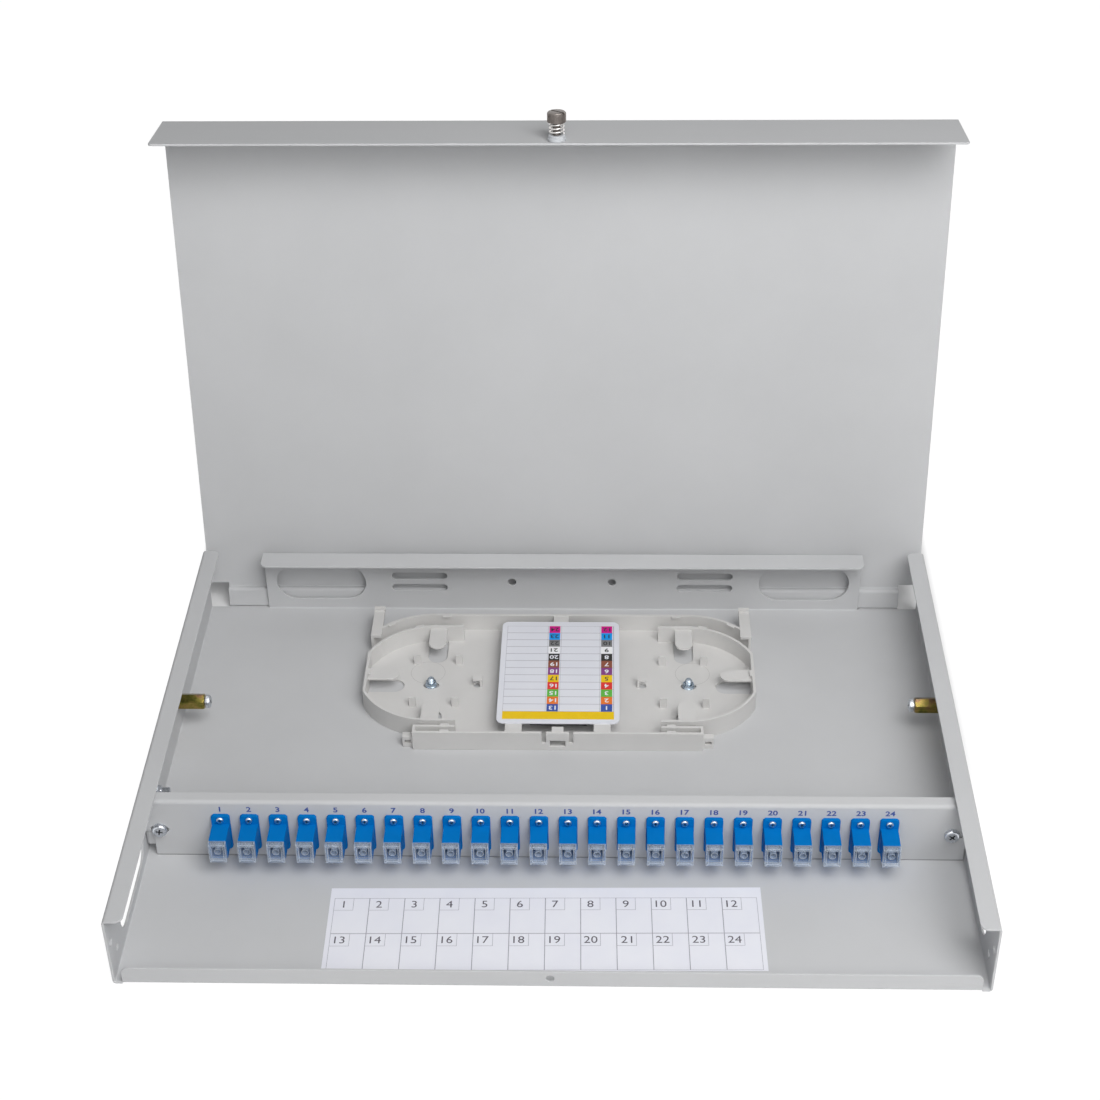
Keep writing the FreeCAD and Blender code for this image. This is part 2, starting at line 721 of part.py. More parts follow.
def splice_tray():
    y = front + splice_middle
    base = fused([rim_block(0, sheet, splice_base), back_block(0, sheet, splice_base),
                  box(-front_half_width, front_half_width, front + front_setback, y, sheet, splice_base)])
    through = 2 * (splice_base + sheet)
    holes = [obround(Vec(stud_offset, front + stud_setback, 0), X, Z, stud_slot[0], stud_slot[1], through),
             rod(hook_hole_radius, Vec(hook_offset + hook_reach - hook_hole_radius, front + hook_setback, 0),
                 Z, splice_base + sheet)]
    for root, inwards in keeper_roots():
        inner_root = root + inwards * splice_wall
        holes.append(keeper(inner_root, inwards, 0, splice_base + sheet, keeper_slot_gap))
    base = base.cut(Part.makeCompound([hole for one in holes for hole in both_sides(one)]))

    opening = box(-rim_open, rim_open, y - tray_depth, y + tray_depth, 0, splice_top + sheet)
    rim = rim_block(0, sheet, splice_top).cut(rim_block(splice_wall, 0, splice_top + sheet)).cut(opening)
    back = back_block(0, sheet, splice_top).cut(back_block(splice_wall, 0, splice_top + sheet))
    back = back.cut(box(-side, side, front, front + back_end_setback, 0, splice_top + sheet))
    rear_rest = box(-rear_rest_width / 2, rear_rest_width / 2,
                    front + card_setback + card_size[1] / 2 - rest_thickness,
                    front + back_setback - splice_wall / 2, card_z - rest_thickness, card_z)

    pieces = [base, back, rear_rest] + rim.Solids + splice_front()
    repeated = [splice_arm(), splice_hook()] + snap_lugs()
    for root, inwards in keeper_roots():
        repeated.append(keeper(root, inwards, splice_top - keeper_drop - keeper_thickness, keeper_thickness))
    for x in post_columns:
        for row in post_rows:
            middle = front + row
            repeated.append(box(x - post_size[0] / 2, x + post_size[0] / 2, middle - post_size[1] / 2,
                                middle + post_size[1] / 2, splice_base, splice_base + post_size[2]))
    for piece in repeated:
        pieces += both_sides(piece)
    return fused(pieces)


# Flanged nut with its flange on the seat.
def flange_nut(seat, direction):
    flange = rod(nut_flange_radius, seat, direction, nut_flange_height)
    body = hexagon(nut_flats, seat, direction, nut_height)
    return fused([flange, body]).cut(rod(stud_radius + fit, seat, direction, nut_height))


def splice_stud():
    return rod(stud_radius, Vec(stud_offset, front + stud_setback, 0), Z, stud_height)


# Comb for splices: ribs on a base, under a thin lid that reaches the card's front edge.
def splice_holder():
    half_width = holder_width / 2
    lid_front = front + card_setback - card_size[1] / 2 + lid_margin
    end = front + card_setback + card_size[1] / 2 - 2 * rest_thickness
    start = end - holder_length
    base = box(-half_width, half_width, start, end, splice_base, splice_base + holder_base)
    lid = box(-half_width, half_width, lid_front, end, card_z - holder_lid, card_z)
    pitch = (holder_length - holder_rib) / (holder_ribs - 1)
    ribs = [box(-half_width, half_width, start + pitch * index, start + pitch * index + holder_rib,
                splice_base, card_z) for index in range(holder_ribs)]
    return fused([base, lid] + ribs)


def label_card():
    card = rounded_plate(card_size[0], card_size[1], card_corner, card_z, card_thickness)
    card.translate(Vec(0, front + card_setback, 0))
    return card


def wall_standoff():
    root = Vec(inner_side, front + standoff_setback, standoff_height)
    turned = rod(standoff_flats / math.sqrt(3), root, -X, standoff_length)
    rims = [edge for edge in turned.Edges if edge.BoundBox.XLength < fit]
    turned = turned.makeChamfer(standoff_chamfer, rims)
    hexed = turned.common(hexagon(standoff_flats, root, -X, standoff_length))
    body = fused([hexed, rod(standoff_spigot, root, X, sheet)])
    end = root - X * standoff_length
    return body.cut(rod(standoff_screw_radius + fit, end, X, standoff_screw_depth + clear))


def standoff_screw():
    end = Vec(inner_side - standoff_length, front + standoff_setback, standoff_height)
    seat = end - X * standoff_screw_gap
    head = rod(standoff_head_radius, seat - X * standoff_head_height, X, standoff_head_height)
    return fused([head, rod(standoff_screw_radius, seat, X, standoff_screw_gap + standoff_screw_depth)])


os.makedirs("parts", exist_ok=True)
save("tray", [tray()])
save("cover", [cover()])
save("screw_ferrule", [screw_ferrule()])
save("screw_spring", [screw_spring()])
save("retaining_ring", [retaining_ring()])
save("thumb_screw", [thumb_screw()])
save("adapter_plate", [adapter_plate()])
save("plate_angle_right", [plate_angle()])
save("plate_angle_left", [mirrored(plate_angle())])
save("plate_screws", both_sides(plate_screw()))
for number, place in enumerate(adapter_places(), 1):
    save("adapter_%02d" % number, [adapter(place)])
save("adapter_screws", adapter_screws())
save("front_dust_caps", [dust_cap(place, plate_y - adapter_front, -1) for place in adapter_places()])
save("rear_dust_caps", [dust_cap(place, plate_back + adapter_rear, 1) for place in adapter_places()])
save("index_label", [index_label()])
save("splice_tray", [splice_tray()])
save("splice_studs", both_sides(splice_stud()))
save("splice_nuts", both_sides(flange_nut(Vec(stud_offset, front + stud_setback, splice_base), Z)))
save("splice_holder", [splice_holder()])
save("label_card", [label_card()])
save("wall_standoffs", both_sides(wall_standoff()))
save("standoff_screws", both_sides(standoff_screw()))
earth_place = Vec(-inner_side, front + earth_setback, earth_height)
save("earth_stud", [rod(stud_radius, earth_place - X * sheet, X, earth_reach + sheet)])
save("earth_nut", [flange_nut(earth_place, X)])
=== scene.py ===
import bmesh
import bpy
import json
import math
from mathutils import Matrix, Vector


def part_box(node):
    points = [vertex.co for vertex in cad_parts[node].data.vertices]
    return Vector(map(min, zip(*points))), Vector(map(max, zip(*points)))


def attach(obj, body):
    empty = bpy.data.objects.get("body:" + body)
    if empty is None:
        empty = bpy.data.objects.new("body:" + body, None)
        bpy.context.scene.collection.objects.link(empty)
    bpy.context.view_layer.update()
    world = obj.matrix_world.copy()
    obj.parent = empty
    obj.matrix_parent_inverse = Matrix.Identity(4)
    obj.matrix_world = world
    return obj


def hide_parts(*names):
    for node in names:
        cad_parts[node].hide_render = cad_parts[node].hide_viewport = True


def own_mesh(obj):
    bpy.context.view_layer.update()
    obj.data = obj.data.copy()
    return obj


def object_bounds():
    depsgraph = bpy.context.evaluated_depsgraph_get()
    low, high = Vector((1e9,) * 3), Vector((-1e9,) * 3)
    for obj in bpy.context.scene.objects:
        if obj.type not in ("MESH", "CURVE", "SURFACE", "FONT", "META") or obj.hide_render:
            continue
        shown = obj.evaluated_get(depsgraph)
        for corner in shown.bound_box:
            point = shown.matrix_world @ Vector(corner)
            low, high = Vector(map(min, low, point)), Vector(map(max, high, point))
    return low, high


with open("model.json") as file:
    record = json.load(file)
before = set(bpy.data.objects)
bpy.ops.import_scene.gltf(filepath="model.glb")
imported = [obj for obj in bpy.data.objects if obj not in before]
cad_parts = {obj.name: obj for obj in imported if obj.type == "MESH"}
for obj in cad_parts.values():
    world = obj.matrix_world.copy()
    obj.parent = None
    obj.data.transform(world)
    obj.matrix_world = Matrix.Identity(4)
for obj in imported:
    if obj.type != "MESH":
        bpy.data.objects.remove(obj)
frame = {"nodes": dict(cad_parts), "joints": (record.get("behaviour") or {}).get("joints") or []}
cadBox = [list(corner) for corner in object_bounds()]
nodes = frame["nodes"]
joints = {joint["name"]: joint for joint in frame["joints"]}
mm = 0.001
hair = 1e-6   # m, heights closer than this are the same
print("frame loaded,", len(nodes), "nodes")

scene = bpy.context.scene
scene.view_settings.view_transform = "Standard"

# camera
cameraSettings = {
    "place": (26.84, -839.39, 759.61),   # mm
    "pitch": 35.792, "yaw": -1.948, "roll": -0.943,
    "lens": 67.14, "sensor": 36, "farthest": 20,
}


def addCamera(settings):
    pitch, yaw, roll = (math.radians(settings[name]) for name in ("pitch", "yaw", "roll"))
    ahead = Vector((math.sin(yaw) * math.cos(pitch),
                    math.cos(yaw) * math.cos(pitch),
                    -math.sin(pitch)))
    right = Vector((math.cos(yaw), -math.sin(yaw), 0))
    up = right.cross(ahead)
    across = right * math.cos(roll) + up * math.sin(roll)
    upright = up * math.cos(roll) - right * math.sin(roll)
    turn = Matrix((across, upright, -ahead)).transposed().to_4x4()
    bpy.ops.object.camera_add()
    camera = bpy.context.object
    camera.name = "photoCamera"
    camera.matrix_world = Matrix.Translation(Vector(settings["place"]) * mm) @ turn
    camera.data.sensor_fit = "HORIZONTAL"
    camera.data.sensor_width = settings["sensor"]
    camera.data.lens = settings["lens"]
    camera.data.clip_end = settings["farthest"]
    scene.camera = camera


addCamera(cameraSettings)
print("camera placed")

# studio
studioSettings = {
    "worldColour": (0.97, 0.985, 1.0), "worldStrength": 0.165,
    "floorSize": 8.0, "floorDrop": 0.0002, "floorColour": (0.85, 0.85, 0.85), "floorRoughness": 0.9,
    "floorWhite": 0.93, "floorGlow": 1.07,                       # share and strength of the white that is seen
    "shadeX": (0, 0.2225, 0.23), "shadeY": (0.17, 0.05, 0.21),   # middle, half, end of the soft edge
    "softboxes": [
        {"name": "keySoftbox", "place": (0.6, -0.95, 1.25), "aim": (0, 0.05, 0.06),
         "size": 1.1, "power": 13.0},
        {"name": "frontFill", "place": (-0.05, -1.7, 0.7), "aim": (0, 0.0, 0.08),
         "size": 1.6, "power": 4.6},
        {"name": "overhead", "place": (0.17, -0.42, 0.86), "aim": (0.05, -0.3, 0),
         "size": 0.5, "power": 3.6},
        {"name": "rearFill", "place": (1.0, 1.7, 0.7), "aim": (0, 0.2, 0.15),
         "size": 1.0, "power": 2},
    ],
}


def startPiece():
    bpy.ops.object.select_all(action="DESELECT")


def seenDirectly(tree):
    # 1 for camera, mirror and see-through rays, 0 for the rays that light things
    path = tree.nodes.new("ShaderNodeLightPath")
    seen = path.outputs["Is Camera Ray"]
    for ray in ("Is Glossy Ray", "Is Transmission Ray"):
        either = tree.nodes.new("ShaderNodeMath")
        either.operation = "MAXIMUM"
        tree.links.new(seen, either.inputs[0])
        tree.links.new(path.outputs[ray], either.inputs[1])
        seen = either.outputs[0]
    return seen


def addWorld(settings):
    world = bpy.data.worlds.new("studioWorld")
    world.use_nodes = True
    scene.world = world
    tree = world.node_tree
    tree.nodes.clear()
    link = tree.links.new
    lighting = tree.nodes.new("ShaderNodeBackground")
    lighting.inputs["Color"].default_value = (*settings["worldColour"], 1)
    lighting.inputs["Strength"].default_value = settings["worldStrength"]
    white = tree.nodes.new("ShaderNodeBackground")
    white.inputs["Color"].default_value = (1, 1, 1, 1)
    white.inputs["Strength"].default_value = 1
    mix = tree.nodes.new("ShaderNodeMixShader")
    output = tree.nodes.new("ShaderNodeOutputWorld")
    link(seenDirectly(tree), mix.inputs[0])
    link(lighting.outputs[0], mix.inputs[1])
    link(white.outputs[0], mix.inputs[2])
    link(mix.outputs[0], output.inputs["Surface"])


def addFloor(settings):
    startPiece()
    bpy.ops.mesh.primitive_plane_add(size=settings["floorSize"],
                                     location=(0, 0, cadBox[0][2] - settings["floorDrop"]))
    floor = bpy.context.object
    floor.name = "studioFloor"
    material = bpy.data.materials.new("floorPaper")
    material.use_nodes = True
    tree = material.node_tree
    link = tree.links.new
    paper = tree.nodes["Principled BSDF"]
    paper.inputs["Base Color"].default_value = (*settings["floorColour"], 1)
    paper.inputs["Roughness"].default_value = settings["floorRoughness"]
    white = tree.nodes.new("ShaderNodeEmission")
    white.inputs["Strength"].default_value = settings["floorGlow"]
    place = tree.nodes.new("ShaderNodeTexCoord")
    split = tree.nodes.new("ShaderNodeSeparateXYZ")
    link(place.outputs["Object"], split.inputs[0])
    # the paper in the shade behind the tray keeps its own colour, all the rest is near white
    beyond = []
    for axis, (middle, half, end) in (("X", settings["shadeX"]), ("Y", settings["shadeY"])):
        away = tree.nodes.new("ShaderNodeMath")
        away.operation = "SUBTRACT"
        away.inputs[1].default_value = middle
        size = tree.nodes.new("ShaderNodeMath")
        size.operation = "ABSOLUTE"
        outside = tree.nodes.new("ShaderNodeMapRange")
        outside.interpolation_type = "SMOOTHSTEP"
        outside.inputs["From Min"].default_value = half
        outside.inputs["From Max"].default_value = end
        link(split.outputs[axis], away.inputs[0])
        link(away.outputs[0], size.inputs[0])
        link(size.outputs[0], outside.inputs["Value"])
        beyond.append(outside.outputs[0])
    either = tree.nodes.new("ShaderNodeMath")
    either.operation = "MAXIMUM"
    link(beyond[0], either.inputs[0])
    link(beyond[1], either.inputs[1])
    share = tree.nodes.new("ShaderNodeMath")
    share.operation = "MULTIPLY"
    share.inputs[1].default_value = settings["floorWhite"]
    link(either.outputs[0], share.inputs[0])
    shown = tree.nodes.new("ShaderNodeMath")
    shown.operation = "MULTIPLY"
    link(seenDirectly(tree), shown.inputs[0])
    link(share.outputs[0], shown.inputs[1])
    mix = tree.nodes.new("ShaderNodeMixShader")
    link(shown.outputs[0], mix.inputs[0])
    link(paper.outputs[0], mix.inputs[1])
    link(white.outputs[0], mix.inputs[2])
    link(mix.outputs[0], tree.nodes["Material Output"].inputs["Surface"])
    floor.data.materials.append(material)


def addSoftboxes(settings):
    for box in settings["softboxes"]:
        place = Vector(box["place"])
        bpy.ops.object.light_add(type="AREA", location=place)
        lamp = bpy.context.object
        lamp.name = box["name"]
        lamp.rotation_euler = (Vector(box["aim"]) - place).to_track_quat("-Z", "Y").to_euler()
        lamp.data.shape = "SQUARE"
        lamp.data.size = box["size"]
        lamp.data.energy = box["power"]


addWorld(studioSettings)
addFloor(studioSettings)
addSoftboxes(studioSettings)
print("studio lit")

# shared surface effects
grainSettings = {
    "fineDetail": 3, "coarseDetail": 2, "coarseStep": 0.3,   # coarse scale as a share of the fine one
    "patchDetail": 5, "patchRoughness": 0.6, "patchRange": (0.32, 0.68), "lineDetail": 4,
}


def newGroup(name, inputs, outputs):
    group = bpy.data.node_groups.new(name, "ShaderNodeTree")
    for way, sockets in (("INPUT", inputs), ("OUTPUT", outputs)):
        for label, kind in sockets:
            group.interface.new_socket(name=label, in_out=way, socket_type="NodeSocket" + kind)
    return group, group.nodes.new("NodeGroupInput"), group.nodes.new("NodeGroupOutput")


def makeGrainGroup(settings):
    # fine grain for bump, slow patches for colour and gloss
    group, inside, outside = newGroup(
        "surfaceGrain",
        [("Vector", "Vector"), ("Fine Scale", "Float"), ("Patch Scale", "Float"), ("Coarse Share", "Float")],
        [("Height", "Float"), ("Patch", "Float")])
    link = group.links.new
    fine = group.nodes.new("ShaderNodeTexNoise")
    fine.inputs["Detail"].default_value = settings["fineDetail"]
    coarse = group.nodes.new("ShaderNodeTexNoise")
    coarse.inputs["Detail"].default_value = settings["coarseDetail"]
    coarseScale = group.nodes.new("ShaderNodeMath")
    coarseScale.operation = "MULTIPLY"
    coarseScale.inputs[1].default_value = settings["coarseStep"]
    blend = group.nodes.new("ShaderNodeMix")
    patch = group.nodes.new("ShaderNodeTexNoise")
    patch.inputs["Detail"].default_value = settings["patchDetail"]
    patch.inputs["Roughness"].default_value = settings["patchRoughness"]
    spread = group.nodes.new("ShaderNodeMapRange")
    spread.inputs["From Min"].default_value = settings["patchRange"][0]
    spread.inputs["From Max"].default_value = settings["patchRange"][1]
    for texture in (fine, coarse, patch):
        link(inside.outputs["Vector"], texture.inputs["Vector"])
    link(inside.outputs["Fine Scale"], fine.inputs["Scale"])
    link(inside.outputs["Fine Scale"], coarseScale.inputs[0])
    link(coarseScale.outputs[0], coarse.inputs["Scale"])
    link(inside.outputs["Patch Scale"], patch.inputs["Scale"])
    link(inside.outputs["Coarse Share"], blend.inputs["Factor"])
    link(fine.outputs["Fac"], blend.inputs["A"])
    link(coarse.outputs["Fac"], blend.inputs["B"])
    link(blend.outputs["Result"], outside.inputs["Height"])
    link(patch.outputs["Fac"], spread.inputs["Value"])
    link(spread.outputs["Result"], outside.inputs["Patch"])
    return group


def makeDrawnGroup(settings):
    # fine lines along one axis, as drawing, turning or rolling leaves them on metal
    group, inside, outside = newGroup(
        "drawnLines", [("Vector", "Vector"), ("Scale", "Float"), ("Stretch", "Vector")], [("Lines", "Float")])
    link = group.links.new
    stretch = group.nodes.new("ShaderNodeVectorMath")
    stretch.operation = "MULTIPLY"
    lines = group.nodes.new("ShaderNodeTexNoise")
    lines.inputs["Detail"].default_value = settings["lineDetail"]
    link(inside.outputs["Vector"], stretch.inputs[0])
    link(inside.outputs["Stretch"], stretch.inputs[1])
    link(stretch.outputs[0], lines.inputs["Vector"])
    link(inside.outputs["Scale"], lines.inputs["Scale"])
    link(lines.outputs["Fac"], outside.inputs["Lines"])
    return group


surfaceGrain = makeGrainGroup(grainSettings)
drawnLines = makeDrawnGroup(grainSettings)

# finishes: colours are linear, two shades that the patches move between
usualFinish = {"coarse": 0.4, "depth": 0.00002, "metal": 0.0, "specular": 0.5, "filmBlend": 0.4}
finishSettings = {
    "powderCoat": {"shades": [(0.550, 0.554, 0.562), (0.582, 0.586, 0.594)], "gloss": (0.40, 0.50),
                   "fine": 1500, "patch": 9, "coarse": 0.6, "bump": 0.10, "depth": 0.00004, "specular": 0.03},
    "adapterBlue": {"shades": [(0.0, 0.160, 0.490), (0.0, 0.174, 0.530)], "gloss": (0.5, 0.6),
                    "fine": 2600, "patch": 90, "coarse": 0.3, "bump": 0.08, "specular": 0.05},
    "splicePlastic": {"shades": [(0.628, 0.619, 0.607), (0.668, 0.659, 0.647)], "gloss": (0.42, 0.55),
                      "fine": 2200, "patch": 30, "bump": 0.08, "specular": 0.4},
    "blackPlastic": {"shades": [(0.010, 0.010, 0.011), (0.020, 0.020, 0.021)], "gloss": (0.38, 0.52),
                     "fine": 2200, "patch": 60, "bump": 0.1, "specular": 0.4},
    "labelPaper": {"shades": [(0.80, 0.805, 0.87), (0.835, 0.84, 0.89)], "gloss": (0.62, 0.78),
                   "fine": 3000, "patch": 40, "coarse": 0.5, "bump": 0.12, "specular": 0.25},
    "cardPlastic": {"shades": [(0.74, 0.75, 0.81), (0.78, 0.79, 0.84)], "gloss": (0.3, 0.42),
                    "fine": 1800, "patch": 25, "coarse": 0.5, "bump": 0.06, "specular": 0.4},
    "paleMetal": {"shades": [(0.52, 0.54, 0.565), (0.57, 0.585, 0.605)], "gloss": (0.36, 0.46),
                  "fine": 2400, "patch": 120, "bump": 0.06, "specular": 0.45},
    "zinc": {"shades": [(0.54, 0.57, 0.61), (0.74, 0.76, 0.80)], "gloss": (0.20, 0.36), "metal": 1.0,
             "fine": 3500, "patch": 420, "coarse": 0.5, "bump": 0.1, "lines": (1500, (1, 1, 0.04))},
    # painted shade: the cross recesses get this much darker zinc
    "recessShadeZinc": {"shades": [(0.05, 0.055, 0.06), (0.12, 0.125, 0.13)], "gloss": (0.35, 0.5), "metal": 1.0,
                   "fine": 3500, "patch": 420, "coarse": 0.5, "bump": 0.1},
    "blueZinc": {"shades": [(0.34, 0.42, 0.50), (0.55, 0.61, 0.68)], "gloss": (0.18, 0.34), "metal": 1.0,
                 "fine": 3500, "patch": 380, "coarse": 0.5, "bump": 0.1},
    # painted shade: a darker line for the ejectors' fine ring grooves
    "mouldGrooveShade": {"shades": [(0.46, 0.45, 0.44), (0.50, 0.49, 0.48)], "gloss": (0.5, 0.6),
                  "fine": 2200, "patch": 60, "bump": 0.06, "specular": 0.3},
    "springSteel": {"shades": [(0.62, 0.60, 0.58), (0.80, 0.78, 0.76)], "gloss": (0.18, 0.30), "metal": 1.0,
                    "fine": 3000, "patch": 300, "bump": 0.06},
    "darkNickel": {"shades": [(0.145, 0.126, 0.116), (0.24, 0.215, 0.20)], "gloss": (0.30, 0.46),
                   "metal": 0.6, "fine": 3000, "patch": 260, "coarse": 0.5, "bump": 0.1},
    "yellowZinc": {"gloss": (0.18, 0.34), "metal": 1.0, "fine": 2500, "patch": 110, "bump": 0.08,
                   "lines": (900, (0.06, 1, 1)),
                   "bands": [(0.0, (0.09, 0.11, 0.028)), (0.3, (0.245, 0.22, 0.045)),
                             (0.55, (0.39, 0.285, 0.085)), (0.75, (0.29, 0.16, 0.09)),
                             (1.0, (0.11, 0.165, 0.075))]},
    "clearPlastic": {"shades": [(0.50, 0.60, 0.75), (0.56, 0.65, 0.79)], "gloss": (0.06, 0.14),
                     "film": (0.23, 0.58), "fine": 900, "patch": 140, "coarse": 0.5, "bump": 0.05,
                     "depth": 0.00003},
    # painted highlight: the caps' rounded rims and the tube's open end are paler and more opaque
    "clearEdgeHighlight": {"shades": [(0.64, 0.71, 0.80), (0.72, 0.78, 0.85)], "gloss": (0.10, 0.20),
                  "film": (0.42, 0.8), "fine": 900, "patch": 140, "coarse": 0.5, "bump": 0.05,
                  "depth": 0.00003},
}
# painted shade at the plate's foot along the floor: its colour is darkened between two heights, from a share of
# its colour up to all of it
finishSettings["plateCoatFootShade"] = {**finishSettings["powderCoat"], "foot": (0.0014, 0.0021, 0.38)}


def makeFinish(name, settings):
    settings = {**usualFinish, **settings}
    material = bpy.data.materials.new(name)
    material.use_nodes = True
    tree = material.node_tree
    link = tree.links.new
    shader = tree.nodes["Principled BSDF"]
    place = tree.nodes.new("ShaderNodeTexCoord")
    grain = tree.nodes.new("ShaderNodeGroup")
    grain.node_tree = surfaceGrain
    grain.inputs["Fine Scale"].default_value = settings["fine"]
    grain.inputs["Patch Scale"].default_value = settings["patch"]
    grain.inputs["Coarse Share"].default_value = settings["coarse"]
    link(place.outputs["Object"], grain.inputs["Vector"])
    if "bands" in settings:
        ramp = tree.nodes.new("ShaderNodeValToRGB")
        stops = ramp.color_ramp.elements
        while len(stops) < len(settings["bands"]):
            stops.new(0.5)
        for stop, (position, colour) in zip(stops, settings["bands"]):
            stop.position = position
            stop.color = (*colour, 1)
        link(grain.outputs["Patch"], ramp.inputs["Fac"])
        link(ramp.outputs["Color"], shader.inputs["Base Color"])
    else:
        colour = tree.nodes.new("ShaderNodeMix")
        colour.data_type = "RGBA"
        colour.inputs["A"].default_value = (*settings["shades"][0], 1)
        colour.inputs["B"].default_value = (*settings["shades"][1], 1)
        link(grain.outputs["Patch"], colour.inputs["Factor"])
        shade = colour.outputs["Result"]
        if "foot" in settings:
            # painted shade: the seam along the floor is darkened towards black
            split = tree.nodes.new("ShaderNodeSeparateXYZ")
            foot = tree.nodes.new("ShaderNodeMapRange")
            foot.inputs["From Min"].default_value = settings["foot"][0]
            foot.inputs["From Max"].default_value = settings["foot"][1]
            foot.inputs["To Min"].default_value = settings["foot"][2]
            seamShade = tree.nodes.new("ShaderNodeMix")
            seamShade.data_type = "RGBA"
            seamShade.inputs["A"].default_value = (0, 0, 0, 1)
            link(place.outputs["Object"], split.inputs[0])
            link(split.outputs["Z"], foot.inputs["Value"])
            link(foot.outputs["Result"], seamShade.inputs["Factor"])
            link(shade, seamShade.inputs["B"])
            shade = seamShade.outputs["Result"]
        link(shade, shader.inputs["Base Color"])
    gloss = tree.nodes.new("ShaderNodeMapRange")
    gloss.inputs["To Min"].default_value = settings["gloss"][0]
    gloss.inputs["To Max"].default_value = settings["gloss"][1]
    link(gloss.outputs["Result"], shader.inputs["Roughness"])
    bump = tree.nodes.new("ShaderNodeBump")
    bump.inputs["Strength"].default_value = settings["bump"]
    bump.inputs["Distance"].default_value = settings["depth"]
    link(bump.outputs["Normal"], shader.inputs["Normal"])
    link(grain.outputs["Height"], bump.inputs["Height"])
    if "lines" in settings:
        lines = tree.nodes.new("ShaderNodeGroup")
        lines.node_tree = drawnLines
        lines.inputs["Scale"].default_value = settings["lines"][0]
        lines.inputs["Stretch"].default_value = settings["lines"][1]
        link(place.outputs["Object"], lines.inputs["Vector"])
        link(lines.outputs["Lines"], gloss.inputs["Value"])
    else:
        link(grain.outputs["Patch"], gloss.inputs["Value"])
    shader.inputs["Metallic"].default_value = settings["metal"]
    shader.inputs["Specular IOR Level"].default_value = settings["specular"]
    if "film" in settings:
        edge = tree.nodes.new("ShaderNodeLayerWeight")
        edge.inputs["Blend"].default_value = settings["filmBlend"]
        film = tree.nodes.new("ShaderNodeMapRange")
        film.inputs["To Min"].default_value = settings["film"][0]
        film.inputs["To Max"].default_value = settings["film"][1]
        link(edge.outputs["Facing"], film.inputs["Value"])
        link(film.outputs["Result"], shader.inputs["Alpha"])
    return material


finishes = {name: makeFinish(name, settings) for name, settings in finishSettings.items()}
print("finishes made:", len(finishes))

adapterNames = sorted(name for name in nodes if name.removeprefix("adapter_").isdigit())
nodeFinishes = {
    "powderCoat": ["tray", "cover", "adapter_plate", "plate_angle_left", "plate_angle_right"],
    "adapterBlue": adapterNames,
    "clearPlastic": ["front_dust_caps", "rear_dust_caps"],
    "zinc": ["plate_screws", "adapter_screws", "standoff_screws", "splice_studs", "splice_nuts",
             "earth_stud", "earth_nut", "retaining_ring"],
    "yellowZinc": ["wall_standoffs"], "splicePlastic": ["splice_tray"], "blackPlastic": ["splice_holder"],
    "labelPaper": ["index_label"], "cardPlastic": ["label_card"], "paleMetal": ["screw_ferrule"],
    "springSteel": ["screw_spring"], "darkNickel": ["thumb_screw"],
}
for finish, nodeNames in nodeFinishes.items():
    for name in nodeNames:
        slots = nodes[name].data.materials
        slots.clear()
        slots.append(finishes[finish])
print("nodes dressed")

# modelling helpers


def editMode(obj, kind="FACE"):
    bpy.context.view_layer.objects.active = obj
    bpy.ops.object.mode_set(mode="EDIT")
    bpy.ops.mesh.select_mode(type=kind)
    bpy.ops.mesh.select_all(action="DESELECT")


def pickFaces(obj, test):
    shape = bmesh.from_edit_mesh(obj.data)
    for face in shape.faces:
        face.select_set(test(face))
    bmesh.update_edit_mesh(obj.data)


def pickEdges(obj, test):
    shape = bmesh.from_edit_mesh(obj.data)
    for edge in shape.edges:
        middle = (edge.verts[0].co + edge.verts[1].co) / 2
        edge.select_set(test(edge, middle))
    bmesh.update_edit_mesh(obj.data)


def atHeight(edge, height):
    return all(abs(vert.co.z - height) < hair for vert in edge.verts)


def pickTop(obj):
    pickFaces(obj, lambda face: face.normal.z > 0.9)


def pickUnder(obj):
    # flat faces only, so that the sloped ends of ridges stay out
    pickFaces(obj, lambda face: face.normal.z < -0.99)


def raiseBy(height):
    bpy.ops.mesh.extrude_region_move(TRANSFORM_OT_translate={"value": (0, 0, height)})


def objectMode():
    bpy.ops.object.mode_set(mode="OBJECT")


def addCylinder(sides, radius, bottom, top):
    startPiece()
    bpy.ops.mesh.primitive_cylinder_add(vertices=sides, radius=radius, depth=top - bottom,
                                        location=(0, 0, (bottom + top) / 2))
    bpy.ops.object.transform_apply(location=True)
    return bpy.context.object


def addBlock(size, middle, turn=0):
    startPiece()
    bpy.ops.mesh.primitive_cube_add(size=1, location=(0, 0, middle))
    block = bpy.context.object
    block.scale = size
    block.rotation_euler = (0, 0, math.radians(turn))
    bpy.ops.object.transform_apply(location=True, rotation=True, scale=True)
    return block


def addGrid(columns, rows, width, length):
    startPiece()
    bpy.ops.mesh.primitive_grid_add(x_subdivisions=columns, y_subdivisions=rows, size=1)
    grid = bpy.context.object
    grid.scale = (width * mm, length * mm, 1)
    bpy.ops.object.transform_apply(scale=True)
    return grid


def joinTo(main, other):
    startPiece()
    main.select_set(True)
    other.select_set(True)
    bpy.context.view_layer.objects.active = main
    bpy.ops.object.join()


def applyModifier(obj, kind, **values):
    bpy.context.view_layer.objects.active = obj
    modifier = obj.modifiers.new(kind.title(), kind)
    for name, value in values.items():
        setattr(modifier, name, value)
    bpy.ops.object.modifier_apply(modifier=modifier.name)


def carve(obj, cutter):
    applyModifier(obj, "BOOLEAN", operation="DIFFERENCE", object=cutter, solver="EXACT")
    bpy.data.objects.remove(cutter)


def smoothByAngle(obj, angle):
    startPiece()
    obj.select_set(True)
    bpy.context.view_layer.objects.active = obj
    bpy.ops.object.shade_smooth_by_angle(angle=math.radians(angle))


def copyAt(obj, matrix):
    twin = obj.copy()
    twin.data = obj.data.copy()
    scene.collection.objects.link(twin)
    twin.matrix_world = matrix
    return twin


